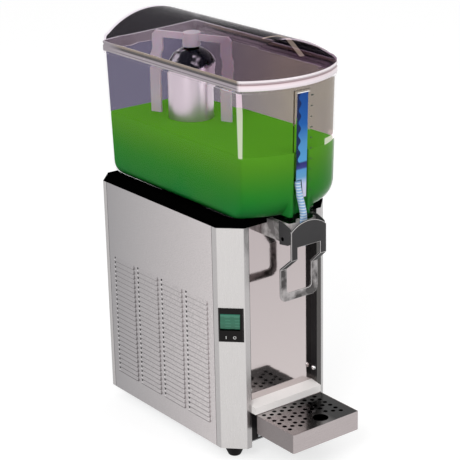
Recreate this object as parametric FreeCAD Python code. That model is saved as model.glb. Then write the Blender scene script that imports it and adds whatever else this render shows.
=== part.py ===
import FreeCAD, Part
import math
import os

# Cold drink dispenser for a counter: a steel cabinet with the cooling plant, a clear bowl on its deck
# with a polished evaporator standing in it, a smoked lid, a magnet driven stirrer, a lever tap that
# pinches a silicone tube, and a drip tray. Front towards -Y, up +Z, millimetres. The origin is under
# the middle of the overall box, on the surface that the feet stand on.

# Cabinet
CABINET_WIDTH = 200.0
CABINET_DEPTH = 318.5
CABINET_HEIGHT = 347.5
FOOT_HEIGHT = 18.0
COLUMN_SHEET = 1.2
PANEL_SHEET = 1.0
CHAMFER = 28.5
FRONT_FACET = 8.3
MIRROR_SETBACK = 12.3
COLUMN_REACH = 38.3
COLUMN_FLANGE = 12.0
RETURN_REACH = 14.3
REAR_COLUMN_REACH = 8.6
REAR_COLUMN_FACE = 20.0
SEAM = 0.8
BASE_SHEET = 1.5
BASE_FLANGE = 12.0

# Louvres in the side panels
LOUVRE_ROWS = 25
LOUVRE_LENGTH = 53.0
LOUVRE_COLUMN_PITCH = 62.9
LOUVRE_PITCH = 7.85
LOUVRE_HEIGHT = 6.9
LOUVRE_STAND = 1.9
LOUVRE_SKIN = 0.9
LOUVRE_TOP = 228.5
LOUVRE_FIRST = 53.2
LOUVRE_MARGIN = 10.0

# Rear panel
REAR_SHEET = 1.2
REAR_LAP = 14.0
GRILLE_SLOTS = 20
GRILLE_LENGTH = 110.0
GRILLE_SLOT = 4.0
GRILLE_PITCH = 10.0
GRILLE_START = 40.0
REAR_SCREW_RADIUS = 3.5
REAR_SCREW_SHANK = 1.5
REAR_SCREW_HEAD = 2.0
REAR_SCREW_LENGTH = 8.0
REAR_SCREW_LOW = 30.0
REAR_SCREW_TOP_GAP = 27.5
INLET_BORE = 3.75
INLET_NECK = 5.5
INLET_FLANGE = 7.5
INLET_FLANGE_THICK = 3.0
INLET_SIDE = 32.0
INLET_HEIGHT = 22.0

# Feet
FOOT_TOP_RADIUS = 17.0
FOOT_BOTTOM_RADIUS = 9.0
FOOT_ROUND = 3.0
FOOT_FRONT_SIDE = 26.0
FOOT_REAR_SIDE = 50.0
FOOT_FRONT = 29.0
FOOT_REAR = 29.5
FOOT_BOLT_RADIUS = 3.0
FOOT_BOLT_DEPTH = 8.0
FOOT_BOLT_LENGTH = 18.0
FOOT_NUT_RADIUS = 6.0
FOOT_NUT_THICK = 5.0

# Front of the cabinet
STRIP_THICK = 1.2
STRIP_START = 0.9
STRIP_LOW = 78.0
TRIM_SCREW_RADIUS = 4.0
TRIM_SCREW_HEIGHT = 92.0
TRIM_SCREW_SETBACK = 5.5
MIRROR_SHEET = 1.0
LEDGE_BACK_TOP = 70.5
LEDGE_FRONT_TOP = 67.5
LEDGE_REACH = 9.4
LEDGE_SHEET = 1.5
KICK_LOW = 11.0
KICK_HIGH = 52.0
KICK_SHEET = 1.5
KICK_FLANGE = 12.0

# Drip tray and its rails
TRAY_REACH = 96.0
TRAY_SIDE_GAP = 0.7
TRAY_TOP = 56.5
TRAY_HEIGHT = 29.4
TRAY_WALL = 1.2
TRAY_LEDGE = 4.0
TRAY_CORNER = 3.0
GRID_SHEET = 1.2
GRID_GAP = 0.3
GRID_DROP = 0.3
GRID_HOLE = 3.4
GRID_PITCH_X = 19.5
GRID_MARGIN = 9.6
GRID_ROWS = 6
GRID_PITCH_Y = 12.0
GRID_FIRST_Y = 16.3
GRID_BETWEEN_FIRST_Y = 22.3
GRID_BETWEEN_PITCH_Y = 23.9
DRAIN_RADIUS = 11.5
DRAIN_X = 6.2
DRAIN_Y = 75.5
DRAIN_CLEAR = 21.0
RAIL_SIDE = 16.5
RAIL_WIDTH = 14.0
RAIL_THICK = 2.4
RAIL_LENGTH = 82.0
RAIL_DROP = 12.0
SLIDE_GAP = 0.3

# Deck
DECK_HEIGHT = 13.5
DECK_INSET = 6.0
DECK_LIP = 3.0
DECK_RECESS = 3.0
DECK_SKIN = 3.0
DECK_FOAM = 7.0
TOP_PLATE_SHEET = 1.6
NECK_GAP = 0.6

# Bowl
BOWL_HEIGHT = 193.7
BOWL_WALL = 3.0
BOWL_HALF_TOP = 86.0
BOWL_HALF_BOTTOM = 79.4
BOWL_REAR_OVERHANG = 3.5
BOWL_REAR_DRAFT = 8.8
BOWL_CORNER_TOP = -12.0
BOWL_CORNER_BOTTOM = -7.6
BOWL_APEX_TOP = -50.0
BOWL_APEX_BOTTOM = -42.3
BOWL_REAR_CORNER = 14.0
BOWL_FRONT_CORNER = 8.0
BOWL_SIDE_ROUND = 20.0
BOWL_FRONT_ROUND = 38.0
BOWL_REAR_ROUND = 15.0
BOWL_SEAT_GAP = 0.3
BOWL_STATIONS = 7
RIM_THICK = 3.0
RIM_SIDE = 2.5
RIM_REAR = 1.0
NOSE_HALF = 22.0
NOSE_DROP = 4.3
NOSE_RISE = 60.0
NOSE_BACK = -5.0
GROOVE_HALF = 10.7
GROOVE_DEPTH = 4.5
GROOVE_TOP_GAP = 6.0
COLLAR_RADIUS = 41.5
COLLAR_WALL = 3.0
COLLAR_HEIGHT = 13.0
SEAL_HEIGHT = 11.0
SOFT_GAP = 0.3
POCKET_DEPTH = 12.0
POCKET_HEIGHT = 56.0
POCKET_RIGHT = 4.0
OUTLET_X = -5.2
OUTLET_SETOUT = 38.9
OUTLET_BORE = 2.0
NIPPLE_RADIUS = 3.0
NIPPLE_LENGTH = 5.0

# Level strip and drink
STRIP_WIDTH = 19.5
STRIP_NOTCH = 4.4
STRIP_NOTCH_TOP = 1.0
LEVEL_STRIP_THICK = 0.8
LEVEL_STRIP_LOW = 30.0
STRIP_TOP_GAP = 0.7
DRINK_LEVEL = 98.0
DRINK_GAP = 0.3
WELL_GAP = 1.5

# Lid
LID_HEIGHT = 56.0
LID_WALL = 2.5
VAULT_RADIUS = 124.0
VAULT_HALF = 80.0
LID_HALF = 86.5
LID_SIDE_TOP = 20.0
LID_REAR_INSET = 3.5
SKIRT_HALF = 89.0
SKIRT_HEIGHT = 15.0
LID_GAP = 0.3
SLOPE_START = 20.0
SLOPE_BACK = 55.0
SLOPE_UP = 36.0
LID_CORNER_Y = -13.0

# Evaporator, centred in the bowl
EVAPORATOR_REAR = 108.0
EVAPORATOR_RADIUS = 35.4
EVAPORATOR_WALL = 1.2
EVAPORATOR_BODY = 182.0
EVAPORATOR_DOME = 22.0
EVAPORATOR_FLANGE = 50.0
EVAPORATOR_FLANGE_THICK = 2.0
SLEEVE_RADIUS = 8.0
SLEEVE_WALL = 1.5
PARTITION_DROP = 5.0
PARTITION_THICK = 2.0
PORT_OFFSET = 19.0
PIVOT_RADIUS = 2.5
PIVOT_HEIGHT = 5.0
COIL_GAP = 0.3
COIL_TUBE = 3.2
COIL_PITCH = 14.0
COIL_TURNS = 11
COIL_START = 14.0

# Stirrer and its drive
STIRRER_ANGLE = -67.9
HUB_RADIUS = 13.5
HUB_HEIGHT = 20.4
HUB_GAP = 0.6
ARCH_THICK = 4.0
BEAM_HEIGHT = 10.0
BEAM_DROP = 2.0
LEG_OUTER_TOP = 69.0
LEG_OUTER_LOW = 72.0
LEG_WIDTH = 18.0
LEG_STEP_HIGH = 552.0
LEG_STEP_LOW = 545.0
LEG_CLEAR = 26.0
ARCH_ROUND = 6.0
MAGNET_RADIUS = 11.0
MAGNET_BORE = 4.5
MAGNET_THICK = 5.0
RUNNING_GAP = 0.05
SHAFT_RADIUS = 4.0
BUSH_LENGTH = 9.0
ROTOR_RADIUS = 14.0
ROTOR_THICK = 12.0
ROTOR_LIFT = 3.0
MOTOR_DROP = 26.0
GEARBOX_HALF = 32.0
GEARBOX_HEIGHT = 26.0
MOTOR_RADIUS = 24.0
MOTOR_LENGTH = 32.0
SHAFT_SOCKET = 16.0
BRACKET_HALF = 50.0
BRACKET_THICK = 2.0
POST_OFFSET = 44.0
POST_RADIUS = 4.0

# Tap
LEVER_HALF = 32.2
SHIELD_SETOUT = 58.0
SHIELD_THICK = 3.0
SHIELD_SIDE = 42.0
SHIELD_ARCH = 12.0
NOTCH_RISE = 17.3
NOTCH_HALF = 20.8
CHEEK_THICK = 1.8
CHEEK_BACK = 29.0
PADDLE_SETOUT = 36.0
PADDLE_DROP = 98.0
PADDLE_LENGTH = 51.0
ARM_RISE = 19.5
PADDLE_BAR = 12.0
PADDLE_HALF = 34.6
PADDLE_ARM = 11.8
PADDLE_ROUND = 11.0
PIN_RADIUS = 3.0
PIN_SETOUT = 38.0
PIN_DROP = 14.5
PINCH_RISE = 16.0
PINCH_HALF = 17.0
PINCH_BAR = 6.0
TUBE_RADIUS = 5.0
TUBE_BORE = 3.0
TUBE_BEND = 6.2
TUBE_STRAIGHT = 8.0
TUBE_SETOUT = 45.8
PINCHED_WIDTH = 13.2
PINCHED_THICK = 4.0
PINCHED_BORE_WIDTH = 8.6
PINCHED_BORE = 0.6
TUBE_DROP = 15.0
HOUSING_HALF = 30.0
HOUSING_DROP = 6.0
HOUSING_ROUND = 3.0
ANVIL_HALF = 18.0
CHEEK_GAP = 0.4
SPRING_X = -26.0
SPRING_MEAN = 4.5
SPRING_WIRE = 0.5
SPRING_PITCH = 1.25
SPRING_TURNS = 5
SPRING_ROOM = 6.2
SPRING_LEG_BACK = 7.0
SPRING_TRAVEL = 1.4
TAP_SCREW_X = 18.0
TAP_SCREW_RISE = 4.0
TAP_SCREW_SHANK = 2.0
TAP_SCREW_HEAD = 4.0
TAP_SCREW_LENGTH = 14.0
TAP_SCREW_HEAD_THICK = 2.6

# Switch on the left chamfer
BEZEL_START = 0.5
BEZEL_WIDTH = 37.5
BEZEL_LOW = 172.5
BEZEL_HEIGHT = 53.0
BEZEL_THICK = 3.4
ROCKER_START = 4.0
ROCKER_WIDTH = 28.4
ROCKER_RISE = 19.5
ROCKER_HEIGHT = 25.0
ROCKER_GAP = 0.5
ROCKER_PIVOT_DEPTH = 4.0
ROCKER_TILT = 7.0
ROCKER_PEAK = 4.6
ROCKER_PIN = 1.5
SWITCH_BODY_INSET = 3.0
SWITCH_BODY_DEPTH = 26.0
SWITCH_BODY_WALL = 1.6

# Cooling plant and electrics
COMPRESSOR_X = -28.0
COMPRESSOR_Y = 100.0
COMPRESSOR_RADIUS = 52.0
COMPRESSOR_HEIGHT = 140.0
COMPRESSOR_PLATE = 3.0
COMPRESSOR_PLATE_HALF = 46.0
GROMMET_HEIGHT = 8.0
GROMMET_RADIUS = 8.0
GROMMET_OFFSET = 38.0
SUCTION_STUB_HEIGHT = 80.0
SUCTION_STUB_LENGTH = 14.0
LINE_RADIUS = 3.0
LINE_BEND = 7.0
CONDENSER_SIDE = 40.0
CONDENSER_REAR_GAP = 17.5
CONDENSER_DEPTH = 42.0
CONDENSER_LOW = 30.0
CONDENSER_HEIGHT = 200.0
FIN_COUNT = 23
FIN_SHEET = 0.6
CONDENSER_FRAME = 1.5
CONDENSER_RUNS = 4
CONDENSER_RUN_PITCH = 50.0
CONDENSER_FIRST_RUN = 55.0
CONDENSER_RUN_PAST = 2.0
CONDENSER_STUB = 8.0
FIN_HOLE_GAP = 0.1
SHROUD_HALF = 74.0
SHROUD_SHEET = 2.0
SHROUD_TOP = 230.0
FAN_HEIGHT = 125.0
FAN_TIP = 58.0
FAN_RING = 62.0
FAN_RING_WALL = 2.0
FAN_RING_DEPTH = 20.0
FAN_HUB = 17.0
FAN_HUB_DEPTH = 12.0
FAN_BLADES = 5
FAN_BLADE_TILT = 32.0
FAN_BLADE_WIDTH = 14.0
FAN_BLADE_THICK = 1.6
FAN_SHAFT = 3.0
FAN_MOTOR_RADIUS = 20.0
FAN_MOTOR_LENGTH = 34.0
FAN_ARM_WIDTH = 8.0
FAN_ARM_THICK = 3.0
FAN_MOTOR_RING = 4.0
DRIER_SIDE = 18.0
DRIER_Y = 60.0
DRIER_LOW = 100.0
DRIER_LENGTH = 90.0
DRIER_RADIUS = 9.0
LANE_SIDE = 12.0
CONTROL_HALF = 36.0
CONTROL_DEPTH = 36.0
CONTROL_TOP_GAP = 27.5
CONTROL_HEIGHT = 105.0
CONTROL_WALL = 2.0
THERMOSTAT_WIDTH = 24.0
THERMOSTAT_DEPTH = 26.0
THERMOSTAT_RISE = 35.0
THERMOSTAT_HEIGHT = 40.0
THERMOSTAT_BULB = 2.0

# Places worked out from the sizes above
HALF = CABINET_WIDTH / 2
FRONT = -(CABINET_DEPTH + BOWL_REAR_OVERHANG - TRAY_REACH) / 2
REAR = FRONT + CABINET_DEPTH
BASE = FOOT_HEIGHT
PANEL_TOP = BASE + CABINET_HEIGHT
RETURN_X = HALF - CHAMFER - FRONT_FACET
MIRROR_Y = FRONT + MIRROR_SETBACK
INLET_X = INLET_SIDE - HALF
REAR_SCREW_HIGH = CABINET_HEIGHT - REAR_SCREW_TOP_GAP
REAR_SCREW_HEIGHTS = (REAR_SCREW_LOW, (REAR_SCREW_LOW + REAR_SCREW_HIGH) / 2, REAR_SCREW_HIGH)
LOUVRE_LAST = CABINET_DEPTH - REAR_COLUMN_REACH - LOUVRE_MARGIN
LOUVRE_COLUMNS = int((LOUVRE_LAST - LOUVRE_FIRST - LOUVRE_LENGTH) / LOUVRE_COLUMN_PITCH) + 1
TRAY_HALF_WIDTH = RETURN_X - TRAY_SIDE_GAP
GRID_FIRST_X = GRID_MARGIN - TRAY_HALF_WIDTH
GRID_COLUMNS = int(2 * (TRAY_HALF_WIDTH - GRID_MARGIN) / GRID_PITCH_X + 0.6)
RAIL_X = TRAY_HALF_WIDTH - RAIL_SIDE
DECK_FLOOR = PANEL_TOP + DECK_HEIGHT - DECK_RECESS
BOWL_BOTTOM = DECK_FLOOR + BOWL_SEAT_GAP
RIM_TOP = BOWL_BOTTOM + BOWL_HEIGHT
LEVEL_STRIP_HIGH = BOWL_HEIGHT - RIM_THICK - GROOVE_TOP_GAP - STRIP_TOP_GAP
LID_BOTTOM = RIM_TOP + LID_GAP
LID_TOP = RIM_TOP + LID_HEIGHT
AXIS_Y = REAR - EVAPORATOR_REAR
DOME_BASE = DECK_FLOOR + EVAPORATOR_BODY
DOME_TOP = DOME_BASE + EVAPORATOR_DOME
DOME_SPHERE = (EVAPORATOR_RADIUS**2 + EVAPORATOR_DOME**2) / (2 * EVAPORATOR_DOME)
DOME_CENTRE = DOME_TOP - DOME_SPHERE
NECK_RADIUS = EVAPORATOR_RADIUS + NECK_GAP
TOP_PLATE_LOW = PANEL_TOP - TOP_PLATE_SHEET
FLANGE_LOW = TOP_PLATE_LOW - EVAPORATOR_FLANGE_THICK
COIL_RADIUS = EVAPORATOR_RADIUS - EVAPORATOR_WALL - COIL_GAP - COIL_TUBE
BRACKET_TOP = TOP_PLATE_LOW - MOTOR_DROP
MOTOR_TOP = BRACKET_TOP - BRACKET_THICK
PARTITION_TOP = DOME_BASE - PARTITION_DROP
TRAY_BACK = FRONT - LEDGE_REACH
TRAY_FRONT = FRONT - TRAY_REACH
TRAY_UNDER = BASE + TRAY_TOP - TRAY_HEIGHT
SHIELD_FRONT = FRONT - SHIELD_SETOUT
SHIELD_BACK = SHIELD_FRONT + SHIELD_THICK
PIN_Y = FRONT - PIN_SETOUT
PIN_Z = PANEL_TOP - PIN_DROP
PINCH_Z = PIN_Z + PINCH_RISE
PADDLE_LOW = PIN_Z - PADDLE_DROP
PADDLE_TOP = PADDLE_LOW + PADDLE_LENGTH
SHIELD_FOOT = PADDLE_TOP + ARM_RISE
SHIELD_NOTCH = SHIELD_FOOT + NOTCH_RISE
SHIELD_SHOULDER = SHIELD_FOOT + SHIELD_SIDE
SHIELD_CROWN = SHIELD_SHOULDER + SHIELD_ARCH
TAP_SCREW_Z = PIN_Z + TAP_SCREW_RISE
PINCH_Y = FRONT - TUBE_SETOUT
ANVIL_Y = PINCH_Y + PINCHED_THICK / 2 + SOFT_GAP
PINCH_NOSE_Y = PINCH_Y - PINCHED_THICK / 2 - SOFT_GAP
HOUSING_TOP = BOWL_BOTTOM - NOSE_DROP - BOWL_SEAT_GAP
FAN_Z = BASE + FAN_HEIGHT
CONDENSER_FRONT = REAR - CONDENSER_REAR_GAP - CONDENSER_DEPTH
CONDENSER_HALF = HALF - CONDENSER_SIDE
LANE_X = HALF - LANE_SIDE
CONDENSER_END = LANE_X - CONDENSER_STUB
DRIER_X = LANE_X - DRIER_SIDE
CONDENSER_RUN_HALF = CONDENSER_HALF + CONDENSER_RUN_PAST
CONTROL_LOW = PANEL_TOP - CONTROL_TOP_GAP - CONTROL_HEIGHT
SHROUD_FRONT = CONDENSER_FRONT - SHROUD_SHEET
FAN_RING_FRONT = SHROUD_FRONT - FAN_RING_DEPTH
CONDENSER_MIDDLE = CONDENSER_FRONT + CONDENSER_DEPTH / 2
LINE_LANE_Z = BRACKET_TOP + (FLANGE_LOW - BRACKET_TOP) / 2

V = FreeCAD.Vector
UP = V(0, 0, 1)
BACKWARD = V(0, 1, 0)
SIDEWAYS = V(1, 0, 0)


# Helpers

def block(low, high):
    """Box between two opposite corners."""
    size = [b - a for a, b in zip(low, high)]
    return Part.makeBox(size[0], size[1], size[2], V(*low))


def rod(start, end, radius):
    """Round bar between two points."""
    along = V(*end) - V(*start)
    return Part.makeCylinder(radius, along.Length, V(*start), along)


def pipe(start, end, outer, inner):
    """Round bar with a through bore."""
    return rod(start, end, outer).cut(rod(start, end, inner))


def prism(points, along):
    """Closed polygon pushed along a vector."""
    corners = [V(*p) for p in points]
    return Part.Face(Part.makePolygon(corners + corners[:1])).extrude(V(*along))


def arc(start, middle, end):
    """Arc edge through three points."""
    return Part.Arc(V(*start), V(*middle), V(*end)).toShape()


def line(start, end):
    """Straight edge."""
    return Part.makeLine(V(*start), V(*end))


def filled(edges, along):
    """Closed outline of edges pushed along a vector."""
    return Part.Face(Part.Wire(edges)).extrude(V(*along))


def turned(profile, x, y):
    """Solid of revolution about a vertical axis, from (radius, height) points."""
    corners = [V(r, 0, z) for r, z in profile]
    face = Part.Face(Part.makePolygon(corners + corners[:1]))
    solid = face.revolve(V(0, 0, 0), UP, 360)
    solid.translate(V(x, y, 0))
    return solid


def joined(first, *others):
    """One solid from pieces that touch or overlap."""
    return first.fuse(list(others)).removeSplitter()


def less(shape, *cutters):
    """Shape with the cutters taken away."""
    return shape.cut(list(cutters))


def mirrored(shape):
    """The same piece on the other side of the middle plane."""
    return shape.mirror(V(0, 0, 0), SIDEWAYS)


def rounded(shape, radius, pick):
    """Shape with a fillet on each edge that pick accepts."""
    edges = [e for e in shape.Edges if pick(e)]
    return shape.makeFillet(radius, edges)


def is_upright(edge):
    """True for a straight vertical edge."""
    box = edge.BoundBox
    return box.XLength < 0.01 and box.YLength < 0.01


def tube(route, radius, bend):
    """Tube along straight runs joined by arcs of one bend radius."""
    points = [V(*p) for p in route]
    edges = []
    at = points[0]
    for before, corner, after in zip(points, points[1:], points[2:]):
        come = (corner - before).normalize()
        leave = (after - corner).normalize()
        half_turn = come.getAngle(leave) / 2
        trim = bend * math.tan(half_turn)
        start = corner - come * trim
        end = corner + leave * trim
        inward = (leave - come).normalize()
        middle = corner + inward * (bend / math.cos(half_turn) - bend)
        edges += [Part.makeLine(at, start), Part.Arc(start, middle, end).toShape()]
        at = end
    edges.append(Part.makeLine(at, points[-1]))
    section = Part.Wire(Part.Circle(points[0], points[1] - points[0], radius).toShape())
    return Part.Wire(edges).makePipeShell([section], True, False)


def cabinet_plan(inset, z):
    """Plan inside the cabinet's sheets, in front of the rear panel and round the mirror recess."""
    slant = inset * (math.sqrt(2) - 1)
    right = [
        (HALF - inset, REAR - REAR_SHEET - inset),
        (HALF - inset, FRONT + CHAMFER + slant),
        (HALF - CHAMFER - slant, FRONT + inset),
        (RETURN_X + inset, FRONT + inset),
        (RETURN_X + inset, MIRROR_Y + MIRROR_SHEET + inset),
    ]
    left = [(-x, y) for x, y in reversed(right)]
    return [(x, y, z) for x, y in right + left]


def deck_plan(inset, z):
    """Plan of the deck: the cabinet without the recess."""
    slant = inset * (math.sqrt(2) - 1)
    right = [
        (HALF - inset, REAR - inset),
        (HALF - inset, FRONT + CHAMFER + slant),
        (HALF - CHAMFER - slant, FRONT + inset),
    ]
    left = [(-x, y) for x, y in reversed(right)]
    return [(x, y, z) for x, y in right + left]


def polygon_wire(points):
    """Closed wire through points."""
    corners = [V(*p) for p in points]
    return Part.makePolygon(corners + corners[:1])


# Cabinet shell

def make_base_plate():
    floor = prism(cabinet_plan(COLUMN_SHEET, BASE), (0, 0, BASE_SHEET))
    rim = prism(cabinet_plan(COLUMN_SHEET, BASE), (0, 0, BASE_FLANGE))
    hollow = prism(cabinet_plan(COLUMN_SHEET + BASE_SHEET, BASE), (0, 0, BASE_FLANGE))
    plate = joined(floor, rim.cut(hollow))
    holes = [rod((x, y, BASE), (x, y, BASE + BASE_SHEET), FOOT_BOLT_RADIUS) for x, y in foot_places()]
    return less(plate, *holes)


def make_front_column():
    """Left front column: side reach, 45 degree face, front facet and the return to the mirror."""
    t = COLUMN_SHEET
    slant = t * (math.sqrt(2) - 1)
    outline = [
        (-HALF, FRONT + COLUMN_REACH),
        (-HALF, FRONT + CHAMFER),
        (-HALF + CHAMFER, FRONT),
        (-RETURN_X, FRONT),
        (-RETURN_X, FRONT + RETURN_REACH),
        (-RETURN_X - t, FRONT + RETURN_REACH),
        (-RETURN_X - t, FRONT + t),
        (-HALF + CHAMFER + slant, FRONT + t),
        (-HALF + t, FRONT + CHAMFER + slant),
        (-HALF + t, FRONT + COLUMN_REACH - t),
        (-HALF + COLUMN_FLANGE, FRONT + COLUMN_REACH - t),
        (-HALF + COLUMN_FLANGE, FRONT + COLUMN_REACH),
    ]
    return less(prism([(x, y, BASE) for x, y in outline], (0, 0, CABINET_HEIGHT)), *plate_rooms())


def plate_rooms():
    """Room for the base plate and the top plate inside the columns and side panels."""
    low = prism(cabinet_plan(COLUMN_SHEET, BASE), (0, 0, BASE_FLANGE + RUNNING_GAP))
    high = prism(cabinet_plan(COLUMN_SHEET, TOP_PLATE_LOW), (0, 0, TOP_PLATE_SHEET))
    return low, high


def make_front_left_column():
    return less(make_front_column(), on_chamfer(switch_cutout()))


def make_front_right_column():
    return mirrored(make_front_column())


def make_rear_left_column():
    t = COLUMN_SHEET
    start = REAR - REAR_COLUMN_REACH
    outline = [
        (-HALF, start),
        (-HALF, REAR),
        (-HALF + REAR_COLUMN_FACE, REAR),
        (-HALF + REAR_COLUMN_FACE, REAR - t),
        (-HALF + t, REAR - t),
        (-HALF + t, start + t),
        (-HALF + COLUMN_FLANGE / 2, start + t),
        (-HALF + COLUMN_FLANGE / 2, start),
    ]
    column = prism([(x, y, BASE) for x, y in outline], (0, 0, CABINET_HEIGHT))
    holes = [rod((x, REAR - t, z), (x, REAR, z), REAR_SCREW_SHANK) for x, z in rear_screw_places()]
    return less(column, *plate_rooms(), *holes)


def louvre_tooth(z, inner):
    """Section of one louvre: the skin slopes out as it goes down; the inner one is the hollow behind it."""
    if inner:
        stand = LOUVRE_STAND - LOUVRE_SKIN
        top = z - LOUVRE_HEIGHT * LOUVRE_SKIN / LOUVRE_STAND
        inside = -HALF + PANEL_SHEET * 1.5
        slot_edge = -HALF + PANEL_SHEET - LOUVRE_SKIN
        return [(inside, top), (slot_edge, top), (-HALF - stand, z - LOUVRE_HEIGHT), (inside, z - LOUVRE_HEIGHT)]
    return [(-HALF, z), (-HALF - LOUVRE_STAND, z - LOUVRE_HEIGHT), (-HALF, z - LOUVRE_HEIGHT)]


def louvre_row(y, length, inner):
    """All louvres of one column as separate prisms."""
    teeth = []
    for row in range(LOUVRE_ROWS):
        section = louvre_tooth(BASE + LOUVRE_TOP - row * LOUVRE_PITCH, inner)
        teeth.append(prism([(x, y, z) for x, z in section], (0, length, 0)))
    return teeth


def make_left_side_panel():
    start = FRONT + COLUMN_REACH + SEAM
    end = REAR - REAR_COLUMN_REACH - SEAM
    skin = block((-HALF, start, BASE), (-HALF + PANEL_SHEET, end, PANEL_TOP))
    front_edge = block((-HALF, start, BASE), (-HALF + COLUMN_FLANGE, start + PANEL_SHEET, PANEL_TOP))
    rear_edge = block((-HALF, end - PANEL_SHEET, BASE), (-HALF + COLUMN_FLANGE / 2, end, PANEL_TOP))
    hoods = []
    hollows = []
    for column in range(LOUVRE_COLUMNS):
        y = FRONT + LOUVRE_FIRST + column * LOUVRE_COLUMN_PITCH
        hoods += louvre_row(y, LOUVRE_LENGTH, False)
        hollows += louvre_row(y + LOUVRE_SKIN, LOUVRE_LENGTH - 2 * LOUVRE_SKIN, True)
    panel = joined(skin, front_edge, rear_edge, *hoods)
    return less(panel, *hollows, *plate_rooms())


def make_rear_panel():
    half = HALF - REAR_COLUMN_FACE + REAR_LAP
    front = REAR - COLUMN_SHEET - REAR_SHEET
    back = REAR - COLUMN_SHEET
    sheet = block((-half, front, BASE), (half, back, PANEL_TOP))
    slots = []
    for row in range(GRILLE_SLOTS):
        z = BASE + GRILLE_START + row * GRILLE_PITCH
        slots.append(block((-GRILLE_LENGTH / 2, front, z), (GRILLE_LENGTH / 2, back, z + GRILLE_SLOT)))
    inlet_z = BASE + INLET_HEIGHT
    slots.append(rod((INLET_X, front, inlet_z), (INLET_X, back, inlet_z), INLET_NECK))
    for x, z in rear_screw_places():
        slots += [rod((side * x, front, z), (side * x, back, z), REAR_SCREW_SHANK) for side in (-1, 1)]
    return less(sheet, *slots)


def rear_screw_places():
    """Screws through the left rear column, as (x, z)."""
    x = -HALF + REAR_COLUMN_FACE - REAR_LAP / 2
    return [(x, BASE + height) for height in REAR_SCREW_HEIGHTS]


def make_rear_screws():
    screws = []
    for x, z in rear_screw_places():
        for side in (-1, 1):
            shank = rod((side * x, REAR - REAR_SCREW_LENGTH, z), (side * x, REAR, z), REAR_SCREW_SHANK)
            head = rod((side * x, REAR, z), (side * x, REAR + REAR_SCREW_HEAD, z), REAR_SCREW_RADIUS)
            screws.append(joined(shank, head))
    return Part.makeCompound(screws)


def make_cord_bush():
    """Rubber bush in the rear panel, with a flange on each side of the sheet."""
    z = BASE + INLET_HEIGHT
    back = REAR - COLUMN_SHEET
    front = back - REAR_SHEET
    neck = rod((INLET_X, front - INLET_FLANGE_THICK, z), (INLET_X, back + INLET_FLANGE_THICK, z), INLET_NECK)
    outside = rod((INLET_X, back, z), (INLET_X, back + INLET_FLANGE_THICK, z), INLET_FLANGE)
    inside = rod((INLET_X, front - INLET_FLANGE_THICK, z), (INLET_X, front, z), INLET_FLANGE)
    bore = rod((INLET_X, front - 2 * INLET_FLANGE, z), (INLET_X, back + 2 * INLET_FLANGE, z), INLET_BORE)
    return less(joined(neck, outside, inside), bore)


def foot_places():
    """Centres of the four feet."""
    front = HALF - FOOT_FRONT_SIDE
    rear = HALF - FOOT_REAR_SIDE
    return [(side * x, y) for side in (-1, 1) for x, y in ((front, FRONT + FOOT_FRONT), (rear, REAR - FOOT_REAR))]


def make_feet():
    feet = []
    for x, y in foot_places():
        foot = Part.makeCone(FOOT_BOTTOM_RADIUS, FOOT_TOP_RADIUS, FOOT_HEIGHT, V(x, y, 0), UP)
        foot = rounded(foot, FOOT_ROUND, lambda e: e.BoundBox.ZMax < 0.01)
        hole = rod((x, y, BASE - FOOT_BOLT_DEPTH), (x, y, BASE), FOOT_BOLT_RADIUS)
        feet.append(foot.cut(hole))
    return Part.makeCompound(feet)


def make_foot_bolts():
    bolts = []
    for x, y in foot_places():
        low = BASE - FOOT_BOLT_DEPTH
        stud = rod((x, y, low), (x, y, low + FOOT_BOLT_LENGTH), FOOT_BOLT_RADIUS)
        corners = [math.radians(60 * k) for k in range(6)]
        hexagon = [(x + FOOT_NUT_RADIUS * math.cos(a), y + FOOT_NUT_RADIUS * math.sin(a)) for a in corners]
        nut = prism([(a, b, BASE + BASE_SHEET) for a, b in hexagon], (0, 0, FOOT_NUT_THICK))
        bolts.append(joined(stud, nut))
    return Part.makeCompound(bolts)


# Front of the cabinet

def make_mirror_panel():
    low = BASE + LEDGE_BACK_TOP - LEDGE_SHEET
    sheet = block((-RETURN_X, MIRROR_Y, low), (RETURN_X, MIRROR_Y + MIRROR_SHEET, PANEL_TOP))
    z = TAP_SCREW_Z
    holes = [
        rod((side * TAP_SCREW_X, MIRROR_Y, z), (side * TAP_SCREW_X, MIRROR_Y + MIRROR_SHEET, z), TAP_SCREW_SHANK)
        for side in (-1, 1)
    ]
    return less(sheet, *holes)


def make_column_strips():
    low = BASE + STRIP_LOW
    screw_z = BASE + TRIM_SCREW_HEIGHT
    strip = block(
        (RETURN_X - STRIP_THICK, FRONT + STRIP_START, low),
        (RETURN_X, MIRROR_Y, PANEL_TOP),
    )
    y = FRONT + TRIM_SCREW_SETBACK
    strip = strip.cut(rod((RETURN_X - STRIP_THICK, y, screw_z), (RETURN_X, y, screw_z), TRIM_SCREW_RADIUS / 2))
    return Part.makeCompound([strip, mirrored(strip)])


def make_trim_screws():
    y = FRONT + TRIM_SCREW_SETBACK
    z = BASE + TRIM_SCREW_HEIGHT
    face = RETURN_X - STRIP_THICK
    ball = Part.makeSphere(TRIM_SCREW_RADIUS, V(face, y, z))
    ball = ball.common(block((face - 10, y - 10, z - 10), (face, y + 10, z + 10)))
    screw = joined(ball, rod((face, y, z), (RETURN_X, y, z), TRIM_SCREW_RADIUS / 2))
    return Part.makeCompound([screw, mirrored(screw)])


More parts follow.
